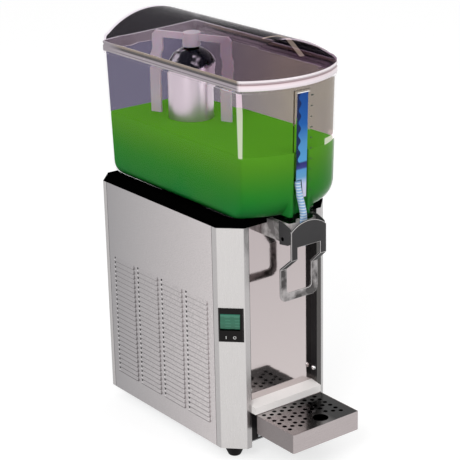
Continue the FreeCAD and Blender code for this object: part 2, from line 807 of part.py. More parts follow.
def make_tray_ledge():
    """White ledge over the drip tray: a sloping top with a front drop and closed ends."""
    half = RETURN_X - RUNNING_GAP
    back = MIRROR_Y
    front = FRONT - LEDGE_REACH
    back_top = BASE + LEDGE_BACK_TOP
    front_top = BASE + LEDGE_FRONT_TOP
    low = BASE + TRAY_TOP + SLIDE_GAP
    t = LEDGE_SHEET
    outer = [(back, back_top), (front, front_top), (front, low), (back, low)]
    inner = [(back, back_top - t), (front + t, front_top - t), (front + t, low), (back, low)]
    solid = prism([(-half, y, z) for y, z in outer], (2 * half, 0, 0))
    hollow = prism([(-half + t, y, z) for y, z in inner], (2 * (half - t), 0, 0))
    return solid.cut(hollow)


def make_kick_plate():
    low = BASE + KICK_LOW
    high = BASE + KICK_HIGH
    face = block((-RETURN_X, FRONT, low), (RETURN_X, FRONT + KICK_SHEET, high))
    flange = block((RETURN_X - KICK_SHEET, FRONT, low), (RETURN_X, FRONT + KICK_FLANGE, high))
    return joined(face, flange, mirrored(flange))


def make_tray_rails():
    top = TRAY_UNDER - SLIDE_GAP
    inner = RAIL_X - RAIL_WIDTH / 2
    outer = RAIL_X + RAIL_WIDTH / 2
    bar = block((inner, FRONT - RAIL_LENGTH, top - RAIL_THICK), (outer, FRONT, top))
    plate = block((inner, FRONT - RAIL_THICK, top - RAIL_DROP), (outer, FRONT, top))
    rail = joined(bar, plate)
    return Part.makeCompound([rail, mirrored(rail)])


# Drip tray

def make_drip_tray():
    top = BASE + TRAY_TOP
    half = TRAY_HALF_WIDTH
    wall = TRAY_WALL
    outer = block((-half, TRAY_FRONT, TRAY_UNDER), (half, TRAY_BACK, top))
    outer = rounded(outer, TRAY_CORNER, is_upright)
    seat = top - GRID_DROP - GRID_SHEET
    upper = block((-half + wall, TRAY_FRONT + wall, seat), (half - wall, TRAY_BACK - wall, top))
    lower = block(
        (-half + wall + TRAY_LEDGE, TRAY_FRONT + wall + TRAY_LEDGE, seat - wall),
        (half - wall - TRAY_LEDGE, TRAY_BACK - wall - TRAY_LEDGE, seat),
    )
    basin = block(
        (-half + wall, TRAY_FRONT + wall, TRAY_UNDER + wall),
        (half - wall, TRAY_BACK - wall, seat - wall),
    )
    inside = [rounded(cavity, TRAY_CORNER - wall, is_upright) for cavity in (upper, basin)]
    return less(outer, lower, *inside)


def grid_hole_places():
    """Hole centres: six full columns with a looser column between each two, clear of the drain."""
    places = []
    for column in range(GRID_COLUMNS):
        x = GRID_FIRST_X + column * GRID_PITCH_X
        places += [(x, TRAY_BACK + LEDGE_REACH - GRID_FIRST_Y - row * GRID_PITCH_Y) for row in range(GRID_ROWS)]
    for column in range(GRID_COLUMNS - 1):
        x = GRID_FIRST_X + (column + 0.5) * GRID_PITCH_X
        first = TRAY_BACK + LEDGE_REACH - GRID_BETWEEN_FIRST_Y
        places += [(x, first - row * GRID_BETWEEN_PITCH_Y) for row in range(GRID_ROWS // 2)]
    drain = (DRAIN_X, FRONT - DRAIN_Y)
    return [p for p in places if math.dist(p, drain) > DRAIN_CLEAR]


def make_drip_grid():
    top = BASE + TRAY_TOP - GRID_DROP
    low = top - GRID_SHEET
    inset = TRAY_WALL + GRID_GAP
    plate = block(
        (-TRAY_HALF_WIDTH + inset, TRAY_FRONT + inset, low),
        (TRAY_HALF_WIDTH - inset, TRAY_BACK - inset, top),
    )
    plate = rounded(plate, TRAY_CORNER - TRAY_WALL, is_upright)
    holes = [rod((x, y, low), (x, y, top), GRID_HOLE) for x, y in grid_hole_places()]
    drain = rod((DRAIN_X, FRONT - DRAIN_Y, low), (DRAIN_X, FRONT - DRAIN_Y, top), DRAIN_RADIUS)
    return less(plate, drain, *holes)


# Deck and top plate

def make_deck():
    top = PANEL_TOP + DECK_HEIGHT
    body = Part.makeLoft(
        [polygon_wire(deck_plan(0, PANEL_TOP)), polygon_wire(deck_plan(DECK_INSET, top))], True, True
    )
    recess = prism(deck_plan(DECK_INSET + DECK_LIP, DECK_FLOOR), (0, 0, DECK_HEIGHT))
    open_half = HALF - CHAMFER - DECK_INSET
    front_gap = block((-open_half, FRONT - 1, DECK_FLOOR), (open_half, FRONT + CHAMFER, top + 1))
    pocket = prism(deck_plan(DECK_INSET, PANEL_TOP), (0, 0, DECK_FOAM))
    hole = rod((0, AXIS_Y, PANEL_TOP), (0, AXIS_Y, top), NECK_RADIUS)
    return less(body, recess, front_gap, pocket, hole)


def make_deck_insulation():
    pad = prism(deck_plan(DECK_INSET, PANEL_TOP), (0, 0, DECK_FOAM))
    hole = rod((0, AXIS_Y, PANEL_TOP), (0, AXIS_Y, PANEL_TOP + DECK_FOAM), NECK_RADIUS)
    return pad.cut(hole)


def make_top_plate():
    plate = prism(cabinet_plan(COLUMN_SHEET, TOP_PLATE_LOW), (0, 0, TOP_PLATE_SHEET))
    hole = rod((0, AXIS_Y, TOP_PLATE_LOW), (0, AXIS_Y, PANEL_TOP), NECK_RADIUS)
    return plate.cut(hole)


# Bowl

def between(low, high, share):
    """Straight blend of two sizes."""
    return low + (high - low) * share


def tuck(height, radius):
    """How far a wall with a rounded foot stands in at a height above the floor."""
    if height >= radius:
        return 0.0
    return radius - math.sqrt(radius**2 - (radius - max(height, 0.0)) ** 2)


def bowl_sizes(height):
    """Half width, rear, corner and apex of the bowl's drafted walls at a height above its bottom."""
    share = height / BOWL_HEIGHT
    rear_top = REAR + BOWL_REAR_OVERHANG - RIM_REAR
    half = between(BOWL_HALF_BOTTOM, BOWL_HALF_TOP, share)
    rear = between(rear_top - BOWL_REAR_DRAFT, rear_top, share)
    corner = FRONT + between(BOWL_CORNER_BOTTOM, BOWL_CORNER_TOP, share)
    apex = FRONT + between(BOWL_APEX_BOTTOM, BOWL_APEX_TOP, share)
    return half, rear, corner, apex


def bowed_plan(half, rear, corner, apex, rear_round, front_round, z):
    """Closed plan with straight sides and rear, a bowed front and four rounded corners."""
    rise = corner - apex
    radius = (half**2 + rise**2) / (2 * rise)
    centre_y = apex + radius
    round_x = half - front_round
    round_y = centre_y - math.sqrt((radius - front_round) ** 2 - round_x**2)
    reach = radius / (radius - front_round)
    touch = (round_x * reach, centre_y + (round_y - centre_y) * reach)
    toward = V(touch[0] - round_x, touch[1] - round_y, 0).normalize() + V(1, 0, 0)
    middle = V(round_x, round_y, 0) + toward.normalize() * front_round
    diagonal = rear_round * (1 - math.sqrt(0.5))
    corner_x = half - diagonal
    corner_y = rear - diagonal
    return Part.Wire([
        line((half, rear - rear_round, z), (half, round_y, z)),
        arc((half, round_y, z), (middle.x, middle.y, z), (touch[0], touch[1], z)),
        arc((touch[0], touch[1], z), (0, apex, z), (-touch[0], touch[1], z)),
        arc((-touch[0], touch[1], z), (-middle.x, middle.y, z), (-half, round_y, z)),
        line((-half, round_y, z), (-half, rear - rear_round, z)),
        arc((-half, rear - rear_round, z), (-corner_x, corner_y, z), (-half + rear_round, rear, z)),
        line((-half + rear_round, rear, z), (half - rear_round, rear, z)),
        arc((half - rear_round, rear, z), (corner_x, corner_y, z), (half, rear - rear_round, z)),
    ])


def bowl_plan(height, wall):
    """Plan of the bowl's face, wall mm inside its outer face, at a height above its bottom."""
    half, rear, corner, apex = bowl_sizes(height)
    over_floor = height - wall
    side = wall + tuck(over_floor, BOWL_SIDE_ROUND - wall)
    back = wall + tuck(over_floor, BOWL_REAR_ROUND - wall)
    front = wall + tuck(over_floor, BOWL_FRONT_ROUND - wall)
    corner_round = max(BOWL_FRONT_CORNER - wall, 2.0) + tuck(over_floor, BOWL_SIDE_ROUND - wall) / 2
    rear_round = BOWL_REAR_CORNER - wall + tuck(over_floor, BOWL_REAR_ROUND - wall) / 2
    return bowed_plan(
        half - side, rear - back, corner + front, apex + front, rear_round, corner_round, BOWL_BOTTOM + height
    )


def bowl_form(wall, top):
    """Solid inside the bowl's face at that wall depth, up to a height."""
    steps = [k / BOWL_STATIONS for k in range(BOWL_STATIONS + 1)]
    rounding = BOWL_FRONT_ROUND - wall
    heights = [wall + rounding * (1 - math.cos(math.pi / 2 * s)) for s in steps] + [top]
    return Part.makeLoft([bowl_plan(h, wall) for h in heights], True, True)


def groove_slab(left, right, depth, high):
    """All between two X planes in front of a plane depth mm behind the bowl's apex, up to a height."""
    low = -2 * NOSE_DROP
    ahead = FRONT + BOWL_APEX_TOP - 2 * GROOVE_HALF
    z0 = BOWL_BOTTOM + low
    z1 = BOWL_BOTTOM + high
    y0 = bowl_sizes(low)[3] + depth
    y1 = bowl_sizes(high)[3] + depth
    return prism([(left, y0, z0), (left, y1, z1), (left, ahead, z1), (left, ahead, z0)], (right - left, 0, 0))


def groove_room(grow):
    """The strip's groove with the tube's pocket at its lower left, all faces moved out by grow."""
    half = GROOVE_HALF + grow
    top = BOWL_HEIGHT - RIM_THICK - GROOVE_TOP_GAP + grow
    groove = groove_slab(-half, half, GROOVE_DEPTH + grow, top)
    pocket = groove_slab(-half, POCKET_RIGHT + grow, POCKET_DEPTH + grow, POCKET_HEIGHT + grow)
    return joined(groove, pocket)


def nose_plan(height, wall):
    """Plan of the column at the bowl's front centre."""
    half = NOSE_HALF - wall
    _, _, corner, apex = bowl_sizes(height)
    full_half = bowl_sizes(height)[0]
    rise = corner - apex
    radius = (full_half**2 + rise**2) / (2 * rise) - wall
    front = apex + wall
    side_y = front + radius - math.sqrt(radius**2 - half**2)
    back = FRONT + NOSE_BACK - wall
    z = BOWL_BOTTOM + height
    return Part.Wire([
        line((half, back, z), (half, side_y, z)),
        arc((half, side_y, z), (0, front, z), (-half, side_y, z)),
        line((-half, side_y, z), (-half, back, z)),
        line((-half, back, z), (half, back, z)),
    ])


def nose_form(wall):
    low = -NOSE_DROP + wall
    return Part.makeLoft([nose_plan(low, wall), nose_plan(NOSE_RISE, wall)], True, True)


def make_bowl():
    outer = joined(bowl_form(0, BOWL_HEIGHT), nose_form(0))
    cavity = joined(bowl_form(BOWL_WALL, BOWL_HEIGHT), nose_form(BOWL_WALL))
    _, rear, _, _ = bowl_sizes(BOWL_HEIGHT)
    rim_plan = bowed_plan(
        BOWL_HALF_TOP + RIM_SIDE,
        rear + RIM_REAR,
        FRONT + BOWL_CORNER_TOP,
        FRONT + BOWL_APEX_TOP,
        BOWL_REAR_CORNER,
        BOWL_FRONT_CORNER,
        RIM_TOP - RIM_THICK,
    )
    rim = Part.Face(rim_plan).extrude(UP * RIM_THICK)
    floor_top = BOWL_BOTTOM + BOWL_WALL
    collar = rod((0, AXIS_Y, BOWL_BOTTOM), (0, AXIS_Y, BOWL_BOTTOM + COLLAR_HEIGHT), COLLAR_RADIUS + COLLAR_WALL)
    hole = rod((0, AXIS_Y, BOWL_BOTTOM - 1), (0, AXIS_Y, floor_top + COLLAR_HEIGHT), COLLAR_RADIUS)
    shell = less(joined(outer, rim), cavity.cut(groove_room(BOWL_WALL)), groove_room(0))
    shell = less(joined(shell, collar), hole)
    ceiling = BOWL_BOTTOM + POCKET_HEIGHT
    x = OUTLET_X
    y = FRONT - OUTLET_SETOUT
    nipple = rod((x, y, ceiling - NIPPLE_LENGTH), (x, y, ceiling), NIPPLE_RADIUS)
    bore = rod((x, y, ceiling - NIPPLE_LENGTH), (x, y, ceiling + BOWL_WALL), OUTLET_BORE)
    return less(joined(shell, nipple), bore)


def groove_wall_y(height):
    """Y of the groove's back wall at a height above the bowl's bottom."""
    return bowl_sizes(height)[3] + GROOVE_DEPTH


def make_bowl_seal():
    """Lip seal between the bowl's collar and the evaporator."""
    low = BOWL_BOTTOM
    inner = EVAPORATOR_RADIUS + SOFT_GAP
    lip = (COLLAR_RADIUS - inner) / 2
    profile = [
        (inner + lip, low),
        (COLLAR_RADIUS, low),
        (COLLAR_RADIUS, low + SEAL_HEIGHT),
        (inner, low + SEAL_HEIGHT),
        (inner, low + SEAL_HEIGHT - lip),
        (inner + lip, low + SEAL_HEIGHT / 2),
    ]
    return turned(profile, 0, AXIS_Y)


def make_level_strip():
    """Strip standing on the groove's back wall, notched at its lower left for the tube."""
    half = STRIP_WIDTH / 2
    near = RUNNING_GAP
    far = near + LEVEL_STRIP_THICK
    corners = ((LEVEL_STRIP_LOW, near), (LEVEL_STRIP_HIGH, near), (LEVEL_STRIP_HIGH, far), (LEVEL_STRIP_LOW, far))
    points = [(-half, groove_wall_y(height) - depth, BOWL_BOTTOM + height) for height, depth in corners]
    strip = prism(points, (STRIP_WIDTH, 0, 0))
    y = 2 * TRAY_FRONT
    low = BOWL_BOTTOM + LEVEL_STRIP_LOW
    high = BOWL_BOTTOM + POCKET_HEIGHT + 1
    notch = [(-half, y, low), (STRIP_NOTCH, y, low), (STRIP_NOTCH_TOP, y, high), (-half, y, high)]
    return strip.cut(prism(notch, (0, -y, 0)))


def make_drink():
    """Drink in the bowl round the evaporator, with a ring shaped well where the stirrer's legs turn."""
    wall = BOWL_WALL + DRINK_GAP
    form = joined(bowl_form(wall, DRINK_LEVEL), nose_form(wall))
    level = block((-HALF, 2 * TRAY_FRONT, 0), (HALF, 2 * REAR, BOWL_BOTTOM + DRINK_LEVEL))
    well_low = BOWL_BOTTOM + LEG_CLEAR - WELL_GAP
    inner = LEG_OUTER_TOP - LEG_WIDTH - WELL_GAP
    well = pipe((0, AXIS_Y, well_low), (0, AXIS_Y, RIM_TOP), LEG_OUTER_LOW + WELL_GAP, inner)
    collar_top = BOWL_BOTTOM + COLLAR_HEIGHT + DRINK_GAP
    collar = rod((0, AXIS_Y, BOWL_BOTTOM), (0, AXIS_Y, collar_top), COLLAR_RADIUS + COLLAR_WALL + DRINK_GAP)
    core = rod((0, AXIS_Y, BOWL_BOTTOM), (0, AXIS_Y, RIM_TOP), EVAPORATOR_RADIUS + DRINK_GAP)
    return less(form.common(level), groove_room(wall), well, collar, core)


# Lid

def lid_arch(inset, start_y, end_y):
    """Barrel vault between two Y planes, its outline inset from the outer face."""
    side = LID_HALF - inset
    half = VAULT_HALF - inset / 2
    radius = VAULT_RADIUS - inset
    crown = LID_TOP - inset
    shoulder = crown - radius + math.sqrt(radius**2 - half**2)
    side_top = RIM_TOP + LID_SIDE_TOP - inset
    middle_x = side - (side - half) * 0.3
    middle_z = side_top + (shoulder - side_top) * 0.66
    low = LID_BOTTOM - 1
    y = start_y
    outline = [
        line((side, y, low), (side, y, side_top)),
        arc((side, y, side_top), (middle_x, y, middle_z), (half, y, shoulder)),
        arc((half, y, shoulder), (0, y, crown), (-half, y, shoulder)),
        arc((-half, y, shoulder), (-middle_x, y, middle_z), (-side, y, side_top)),
        line((-side, y, side_top), (-side, y, low)),
        line((-side, y, low), (side, y, low)),
    ]
    return filled(outline, (0, end_y - start_y, 0))


def lid_front(inset):
    """All that lies behind the lid's front: upright to the slope's start, then leaning back."""
    corner = FRONT + LID_CORNER_Y + inset
    apex = FRONT + BOWL_APEX_TOP + inset
    half = SKIRT_HALF - inset
    far = REAR + 2 * SLOPE_BACK
    start = RIM_TOP + SLOPE_START - inset
    z = start
    plan = [
        arc((half, corner, z), (0, apex, z), (-half, corner, z)),
        line((-half, corner, z), (-half, far, z)),
        line((-half, far, z), (half, far, z)),
        line((half, far, z), (half, corner, z)),
    ]
    slope = (LID_TOP - start) * 1.2 / SLOPE_UP
    leaning = filled(plan, (0, SLOPE_BACK * slope, SLOPE_UP * slope))
    upright = filled(plan, (0, 0, LID_BOTTOM - 1 - z))
    return joined(leaning, upright)


def make_lid():
    ahead = FRONT + BOWL_APEX_TOP - 10
    rear = REAR + BOWL_REAR_OVERHANG - LID_REAR_INSET
    outer = lid_arch(0, ahead, rear).common(lid_front(0))
    inner = lid_arch(LID_WALL, ahead, rear - LID_WALL).common(lid_front(LID_WALL))
    skirt_plan = bowed_plan(
        SKIRT_HALF,
        REAR + BOWL_REAR_OVERHANG,
        FRONT + LID_CORNER_Y,
        FRONT + BOWL_APEX_TOP,
        BOWL_REAR_CORNER,
        BOWL_FRONT_CORNER,
        LID_BOTTOM,
    )
    skirt = Part.Face(skirt_plan).extrude(UP * SKIRT_HEIGHT)
    above_rim = block((-HALF, 2 * TRAY_FRONT, LID_BOTTOM), (HALF, 2 * REAR, 2 * LID_TOP))
    return less(joined(outer, skirt), inner).common(above_rim)


# Evaporator, stirrer and drive

def at_axis(low, high, radius):
    """Upright rod on the evaporator's axis."""
    return rod((0, AXIS_Y, low), (0, AXIS_Y, high), radius)


def dome_arc(radius, reach):
    """Arc of the dome from a radius out from the axis to a radius near it, seen in the X Z plane."""
    sphere = DOME_SPHERE - EVAPORATOR_RADIUS + radius
    stops = (radius, (radius + reach) / 2, reach)
    points = [(r, 0, DOME_CENTRE + math.sqrt(sphere**2 - r**2)) for r in stops]
    return arc(*points), points[0], points[-1]


def make_evaporator():
    """Closed vessel with a domed end, a sleeve for the shaft, a room for the drive magnet and a pivot."""
    inner = EVAPORATOR_RADIUS - EVAPORATOR_WALL
    bore = SLEEVE_RADIUS - SLEEVE_WALL
    outside, foot, neck = dome_arc(EVAPORATOR_RADIUS, PIVOT_RADIUS)
    inside, spring, crown = dome_arc(inner, 0)
    pivot_top = DOME_TOP + PIVOT_HEIGHT
    section = Part.Wire([
        line((0, 0, crown[2]), (0, 0, pivot_top)),
        line((0, 0, pivot_top), (PIVOT_RADIUS, 0, pivot_top)),
        line((PIVOT_RADIUS, 0, pivot_top), neck),
        outside,
        line(foot, (EVAPORATOR_RADIUS, 0, TOP_PLATE_LOW)),
        line((EVAPORATOR_RADIUS, 0, TOP_PLATE_LOW), (EVAPORATOR_FLANGE, 0, TOP_PLATE_LOW)),
        line((EVAPORATOR_FLANGE, 0, TOP_PLATE_LOW), (EVAPORATOR_FLANGE, 0, FLANGE_LOW)),
        line((EVAPORATOR_FLANGE, 0, FLANGE_LOW), (bore, 0, FLANGE_LOW)),
        line((bore, 0, FLANGE_LOW), (bore, 0, PARTITION_TOP)),
        line((bore, 0, PARTITION_TOP), (inner, 0, PARTITION_TOP)),
        line((inner, 0, PARTITION_TOP), spring),
        inside,
    ])
    vessel = Part.Face(section).revolve(V(0, 0, 0), UP, 360)
    vessel.translate(V(0, AXIS_Y, 0))
    partition_low = PARTITION_TOP - PARTITION_THICK
    chamber = pipe((0, AXIS_Y, TOP_PLATE_LOW), (0, AXIS_Y, partition_low), inner, SLEEVE_RADIUS)
    y = AXIS_Y - PORT_OFFSET
    ports = [rod((x, y, FLANGE_LOW), (x, y, TOP_PLATE_LOW), LINE_RADIUS) for x in (-PORT_OFFSET, PORT_OFFSET)]
    return less(vessel, chamber, *ports)


def make_evaporator_coil():
    """Copper coil round the sleeve inside the evaporator."""
    helix = Part.makeHelix(COIL_PITCH, COIL_PITCH * COIL_TURNS, COIL_RADIUS)
    section = Part.Wire(Part.Circle(V(COIL_RADIUS, 0, 0), BACKWARD, COIL_TUBE).toShape())
    coil = Part.Wire(helix).makePipeShell([section], True, True)
    coil.translate(V(0, AXIS_Y, TOP_PLATE_LOW + COIL_START))
    return coil


def in_stirrer_frame(shape):
    """Turn and move a piece modelled along X at the origin to the stirrer's place."""
    shape.rotate(V(0, 0, 0), UP, STIRRER_ANGLE)
    shape.translate(V(0, AXIS_Y, 0))
    return shape


def make_stirrer():
    """Arch over the evaporator: hub, beam and two legs that stand out a little further below the rim."""
    hub_low = DOME_TOP + HUB_GAP
    hub_top = hub_low + HUB_HEIGHT
    beam_top = hub_top - BEAM_DROP
    beam_low = beam_top - BEAM_HEIGHT
    foot = BOWL_BOTTOM + LEG_CLEAR
    step_high = BASE + LEG_STEP_HIGH
    step_low = BASE + LEG_STEP_LOW
    outer = [
        (LEG_OUTER_LOW, foot),
        (LEG_OUTER_LOW, step_low),
        (LEG_OUTER_TOP, step_high),
        (LEG_OUTER_TOP, beam_top - ARCH_ROUND),
        (LEG_OUTER_TOP - ARCH_ROUND, beam_top),
    ]
    inner = [
        (LEG_OUTER_LOW - LEG_WIDTH, foot),
        (LEG_OUTER_LOW - LEG_WIDTH, step_low),
        (LEG_OUTER_TOP - LEG_WIDTH, step_high),
        (LEG_OUTER_TOP - LEG_WIDTH, beam_low),
    ]
    right = inner[::-1] + outer
    outline = right + [(-x, z) for x, z in reversed(right)]
    arch = prism([(x, -ARCH_THICK / 2, z) for x, z in outline], (0, ARCH_THICK, 0))
    hub = rod((0, 0, hub_low), (0, 0, hub_top), HUB_RADIUS)
    pivot_bore = rod((0, 0, hub_low), (0, 0, DOME_TOP + PIVOT_HEIGHT + 1), PIVOT_RADIUS + RUNNING_GAP)
    magnet_room = rod((0, 0, hub_low), (0, 0, hub_low + MAGNET_THICK), MAGNET_RADIUS)
    return in_stirrer_frame(less(joined(arch, hub), pivot_bore, magnet_room))


def make_stirrer_magnet():
    low = DOME_TOP + HUB_GAP
    return pipe((0, AXIS_Y, low), (0, AXIS_Y, low + MAGNET_THICK), MAGNET_RADIUS, MAGNET_BORE)


def make_drive_shaft():
    low = MOTOR_TOP - SHAFT_SOCKET + RUNNING_GAP
    return at_axis(low, PARTITION_TOP + ROTOR_LIFT, SHAFT_RADIUS)


def make_drive_magnet():
    low = PARTITION_TOP + ROTOR_LIFT
    return at_axis(low, low + ROTOR_THICK, ROTOR_RADIUS)


def make_shaft_bushes():
    outer = SLEEVE_RADIUS - SLEEVE_WALL
    bore = SHAFT_RADIUS + RUNNING_GAP
    low = pipe((0, AXIS_Y, FLANGE_LOW), (0, AXIS_Y, FLANGE_LOW + BUSH_LENGTH), outer, bore)
    high = pipe((0, AXIS_Y, PARTITION_TOP - BUSH_LENGTH), (0, AXIS_Y, PARTITION_TOP), outer, bore)
    return Part.makeCompound([low, high])


def make_gear_motor():
    low = MOTOR_TOP - GEARBOX_HEIGHT
    box = block((-GEARBOX_HALF, AXIS_Y - GEARBOX_HALF, low), (GEARBOX_HALF, AXIS_Y + GEARBOX_HALF, MOTOR_TOP))
    box = rounded(box, 4.0, is_upright)
    can = at_axis(low - MOTOR_LENGTH, low, MOTOR_RADIUS)
    socket = at_axis(MOTOR_TOP - SHAFT_SOCKET, MOTOR_TOP, SHAFT_RADIUS + RUNNING_GAP)
    return less(joined(box, can), socket)


def make_motor_bracket():
    """Plate under the top plate on four posts."""
    plate = block(
        (-BRACKET_HALF, AXIS_Y - BRACKET_HALF, MOTOR_TOP),
        (BRACKET_HALF, AXIS_Y + BRACKET_HALF, BRACKET_TOP),
    )
    posts = []
    for x in (-POST_OFFSET, POST_OFFSET):
        for y in (AXIS_Y - POST_OFFSET, AXIS_Y + POST_OFFSET):
            posts.append(rod((x, y, BRACKET_TOP), (x, y, TOP_PLATE_LOW), POST_RADIUS))
    hole = at_axis(MOTOR_TOP, BRACKET_TOP, SLEEVE_RADIUS)
    return less(joined(plate, *posts), hole)


# Tap

def make_tap_housing():
    """Block on the mirror panel whose front face is the anvil for the pinched tube."""
    z0 = PIN_Z - HOUSING_DROP
    half = HOUSING_HALF
    body = block((-half, ANVIL_Y, z0), (half, MIRROR_Y, HOUSING_TOP))
    body = rounded(body, HOUSING_ROUND, lambda e: is_upright(e) and e.BoundBox.YMax < ANVIL_Y + 1)
    deck_room = block((-half, FRONT - BOWL_SEAT_GAP, PANEL_TOP - BOWL_SEAT_GAP), (half, MIRROR_Y, HOUSING_TOP))
    shoulder = block(
        (ANVIL_HALF, ANVIL_Y, PIN_Z + SPRING_ROOM), (half, ANVIL_Y + PINCH_BAR, HOUSING_TOP)
    )
    bore = rod((-half, PIN_Y, PIN_Z), (half, PIN_Y, PIN_Z), PIN_RADIUS)
    spring_end = SPRING_X + SPRING_PITCH * SPRING_TURNS + 2 * SPRING_WIRE
    spring_room = rod((SPRING_X - 2 * SPRING_WIRE, PIN_Y, PIN_Z), (spring_end, PIN_Y, PIN_Z), SPRING_ROOM)
    leg_room = block(
        (SPRING_X - 2 * SPRING_WIRE, ANVIL_Y, PIN_Z - SPRING_ROOM),
        (spring_end, PIN_Y + SPRING_MEAN + SPRING_LEG_BACK + 2, PIN_Z + SPRING_ROOM),
    )
    screws = [
        rod((x, MIRROR_Y - TAP_SCREW_LENGTH, TAP_SCREW_Z), (x, MIRROR_Y, TAP_SCREW_Z), TAP_SCREW_SHANK)
        for x in (-TAP_SCREW_X, TAP_SCREW_X)
    ]
    return less(body, deck_room, shoulder, mirrored(shoulder), bore, spring_room, leg_room, *screws)


def make_tap_screws():
    z = TAP_SCREW_Z
    back = MIRROR_Y + MIRROR_SHEET
    screws = []
    for x in (-TAP_SCREW_X, TAP_SCREW_X):
        shank = rod((x, MIRROR_Y - TAP_SCREW_LENGTH + 1, z), (x, back, z), TAP_SCREW_SHANK)
        head = rod((x, back, z), (x, back + TAP_SCREW_HEAD_THICK, z), TAP_SCREW_HEAD)
        screws.append(joined(shank, head))
    return Part.makeCompound(screws)


def make_tap_pin():
    end = LEVER_HALF
    return rod((-end, PIN_Y, PIN_Z), (end, PIN_Y, PIN_Z), PIN_RADIUS)


def lever_shield():
    """Front plate: arched top, a notch below and a leg at each side of the notch."""
    y = SHIELD_FRONT
    shoulder = SHIELD_SHOULDER
    notch = SHIELD_NOTCH
    foot = SHIELD_FOOT
    outline = [
        arc((-LEVER_HALF, y, shoulder), (0, y, SHIELD_CROWN), (LEVER_HALF, y, shoulder)),
        line((LEVER_HALF, y, shoulder), (LEVER_HALF, y, foot)),
        line((LEVER_HALF, y, foot), (NOTCH_HALF, y, foot)),
        line((NOTCH_HALF, y, foot), (NOTCH_HALF, y, notch)),
        line((NOTCH_HALF, y, notch), (-NOTCH_HALF, y, notch)),
        line((-NOTCH_HALF, y, notch), (-NOTCH_HALF, y, foot)),
        line((-NOTCH_HALF, y, foot), (-LEVER_HALF, y, foot)),
        line((-LEVER_HALF, y, foot), (-LEVER_HALF, y, shoulder)),
    ]
    return filled(outline, (0, SHIELD_THICK, 0))


def lever_cheek():
    """Side plate from the shield back over the housing, with the pivot bore."""
    outer = LEVER_HALF
    inner = HOUSING_HALF + CHEEK_GAP
    notch = SHIELD_NOTCH
    back = FRONT - CHEEK_BACK
    section = [
        (SHIELD_BACK, SHIELD_SHOULDER + PIN_RADIUS),
        (back, HOUSING_TOP + NOSE_DROP),
        (back - 1, PIN_Z + PIN_RADIUS),
        (back - 2, notch + 1),
        (SHIELD_BACK + 2 * PIN_RADIUS, notch + PIN_RADIUS),
        (SHIELD_BACK, notch + 2 * PIN_RADIUS),
    ]
    plate = prism([(inner, y, z) for y, z in section], (outer - inner, 0, 0))
    return plate.cut(rod((inner, PIN_Y, PIN_Z), (outer, PIN_Y, PIN_Z), PIN_RADIUS + RUNNING_GAP))


def lever_paddle():
    """U shaped plate that a glass pushes, set behind the shield."""
    y = FRONT - PADDLE_SETOUT
    top = PADDLE_TOP
    low = PADDLE_LOW
    outer = block((-PADDLE_HALF, y, low), (PADDLE_HALF, y + SHIELD_THICK, top))
    inner_half = PADDLE_HALF - PADDLE_ARM
    inner = block((-inner_half, y, low + PADDLE_BAR), (inner_half, y + SHIELD_THICK, top))
    outer = rounded(outer, PADDLE_ROUND, lambda e: lies_along_y(e) and e.BoundBox.ZMax < low + 1)
    inner = rounded(inner, PADDLE_ROUND / 2, lambda e: lies_along_y(e) and e.BoundBox.ZMax < low + PADDLE_BAR + 1)
    return outer.cut(inner)


def lies_along_y(edge):
    """True for a straight edge along Y."""
    box = edge.BoundBox
    return box.XLength < 0.01 and box.ZLength < 0.01


def lever_arm():
    """Slanting arm from the shield's leg back and down to the paddle."""
    foot = SHIELD_FOOT
    top = PADDLE_TOP
    paddle_y = FRONT - PADDLE_SETOUT
    x0 = NOTCH_HALF
    x1 = LEVER_HALF
    y0 = PADDLE_HALF - PADDLE_ARM
    y1 = PADDLE_HALF
    start = [(x0, SHIELD_FRONT, foot), (x1, SHIELD_FRONT, foot), (x1, SHIELD_BACK, foot), (x0, SHIELD_BACK, foot)]
    end = [
        (y0, paddle_y, top),
        (y1, paddle_y, top),
        (y1, paddle_y + SHIELD_THICK, top),
        (y0, paddle_y + SHIELD_THICK, top),
    ]
    return Part.makeLoft([polygon_wire(start), polygon_wire(end)], True, True)


def lever_pinch_bar():
    """Bar behind the shield with a round nose that closes the tube."""
    z = PINCH_Z
    half = PINCH_BAR / 2
    section = [
        (SHIELD_BACK, z - half),
        (PINCH_NOSE_Y - half / 2, z - half),
        (PINCH_NOSE_Y, z - half / 3),
        (PINCH_NOSE_Y, z + half / 3),
        (PINCH_NOSE_Y - half / 2, z + half),
        (SHIELD_BACK, z + half),
    ]
    return prism([(-PINCH_HALF, y, z1) for y, z1 in section], (2 * PINCH_HALF, 0, 0))


def make_tap_lever():
    cheek = lever_cheek()
    arm = lever_arm()
    return joined(lever_shield(), cheek, mirrored(cheek), arm, mirrored(arm), lever_paddle(), lever_pinch_bar())


def make_lever_spring():
    """Torsion spring round the pin: one leg on the shield's back, one in the housing's slot."""
    helix = Part.makeHelix(SPRING_PITCH, SPRING_PITCH * SPRING_TURNS, SPRING_MEAN)
    section = Part.Wire(Part.Circle(V(SPRING_MEAN, 0, 0), BACKWARD, SPRING_WIRE).toShape())
    coil = Part.Wire(helix).makePipeShell([section], True, True)
    coil.rotate(V(0, 0, 0), BACKWARD, 90)
    coil.translate(V(SPRING_X, PIN_Y, PIN_Z))
    length = SPRING_PITCH * SPRING_TURNS
    low_z = PIN_Z - SPRING_MEAN
    leg = SPRING_WIRE - RUNNING_GAP
    front_leg = rod((SPRING_X + length, PIN_Y, low_z), (SPRING_X + length, SHIELD_BACK + SPRING_TRAVEL, low_z), leg)
    back_leg = rod((SPRING_X, PIN_Y, low_z), (SPRING_X, PIN_Y + SPRING_LEG_BACK, low_z), leg)
    return coil.fuse([front_leg, back_leg])


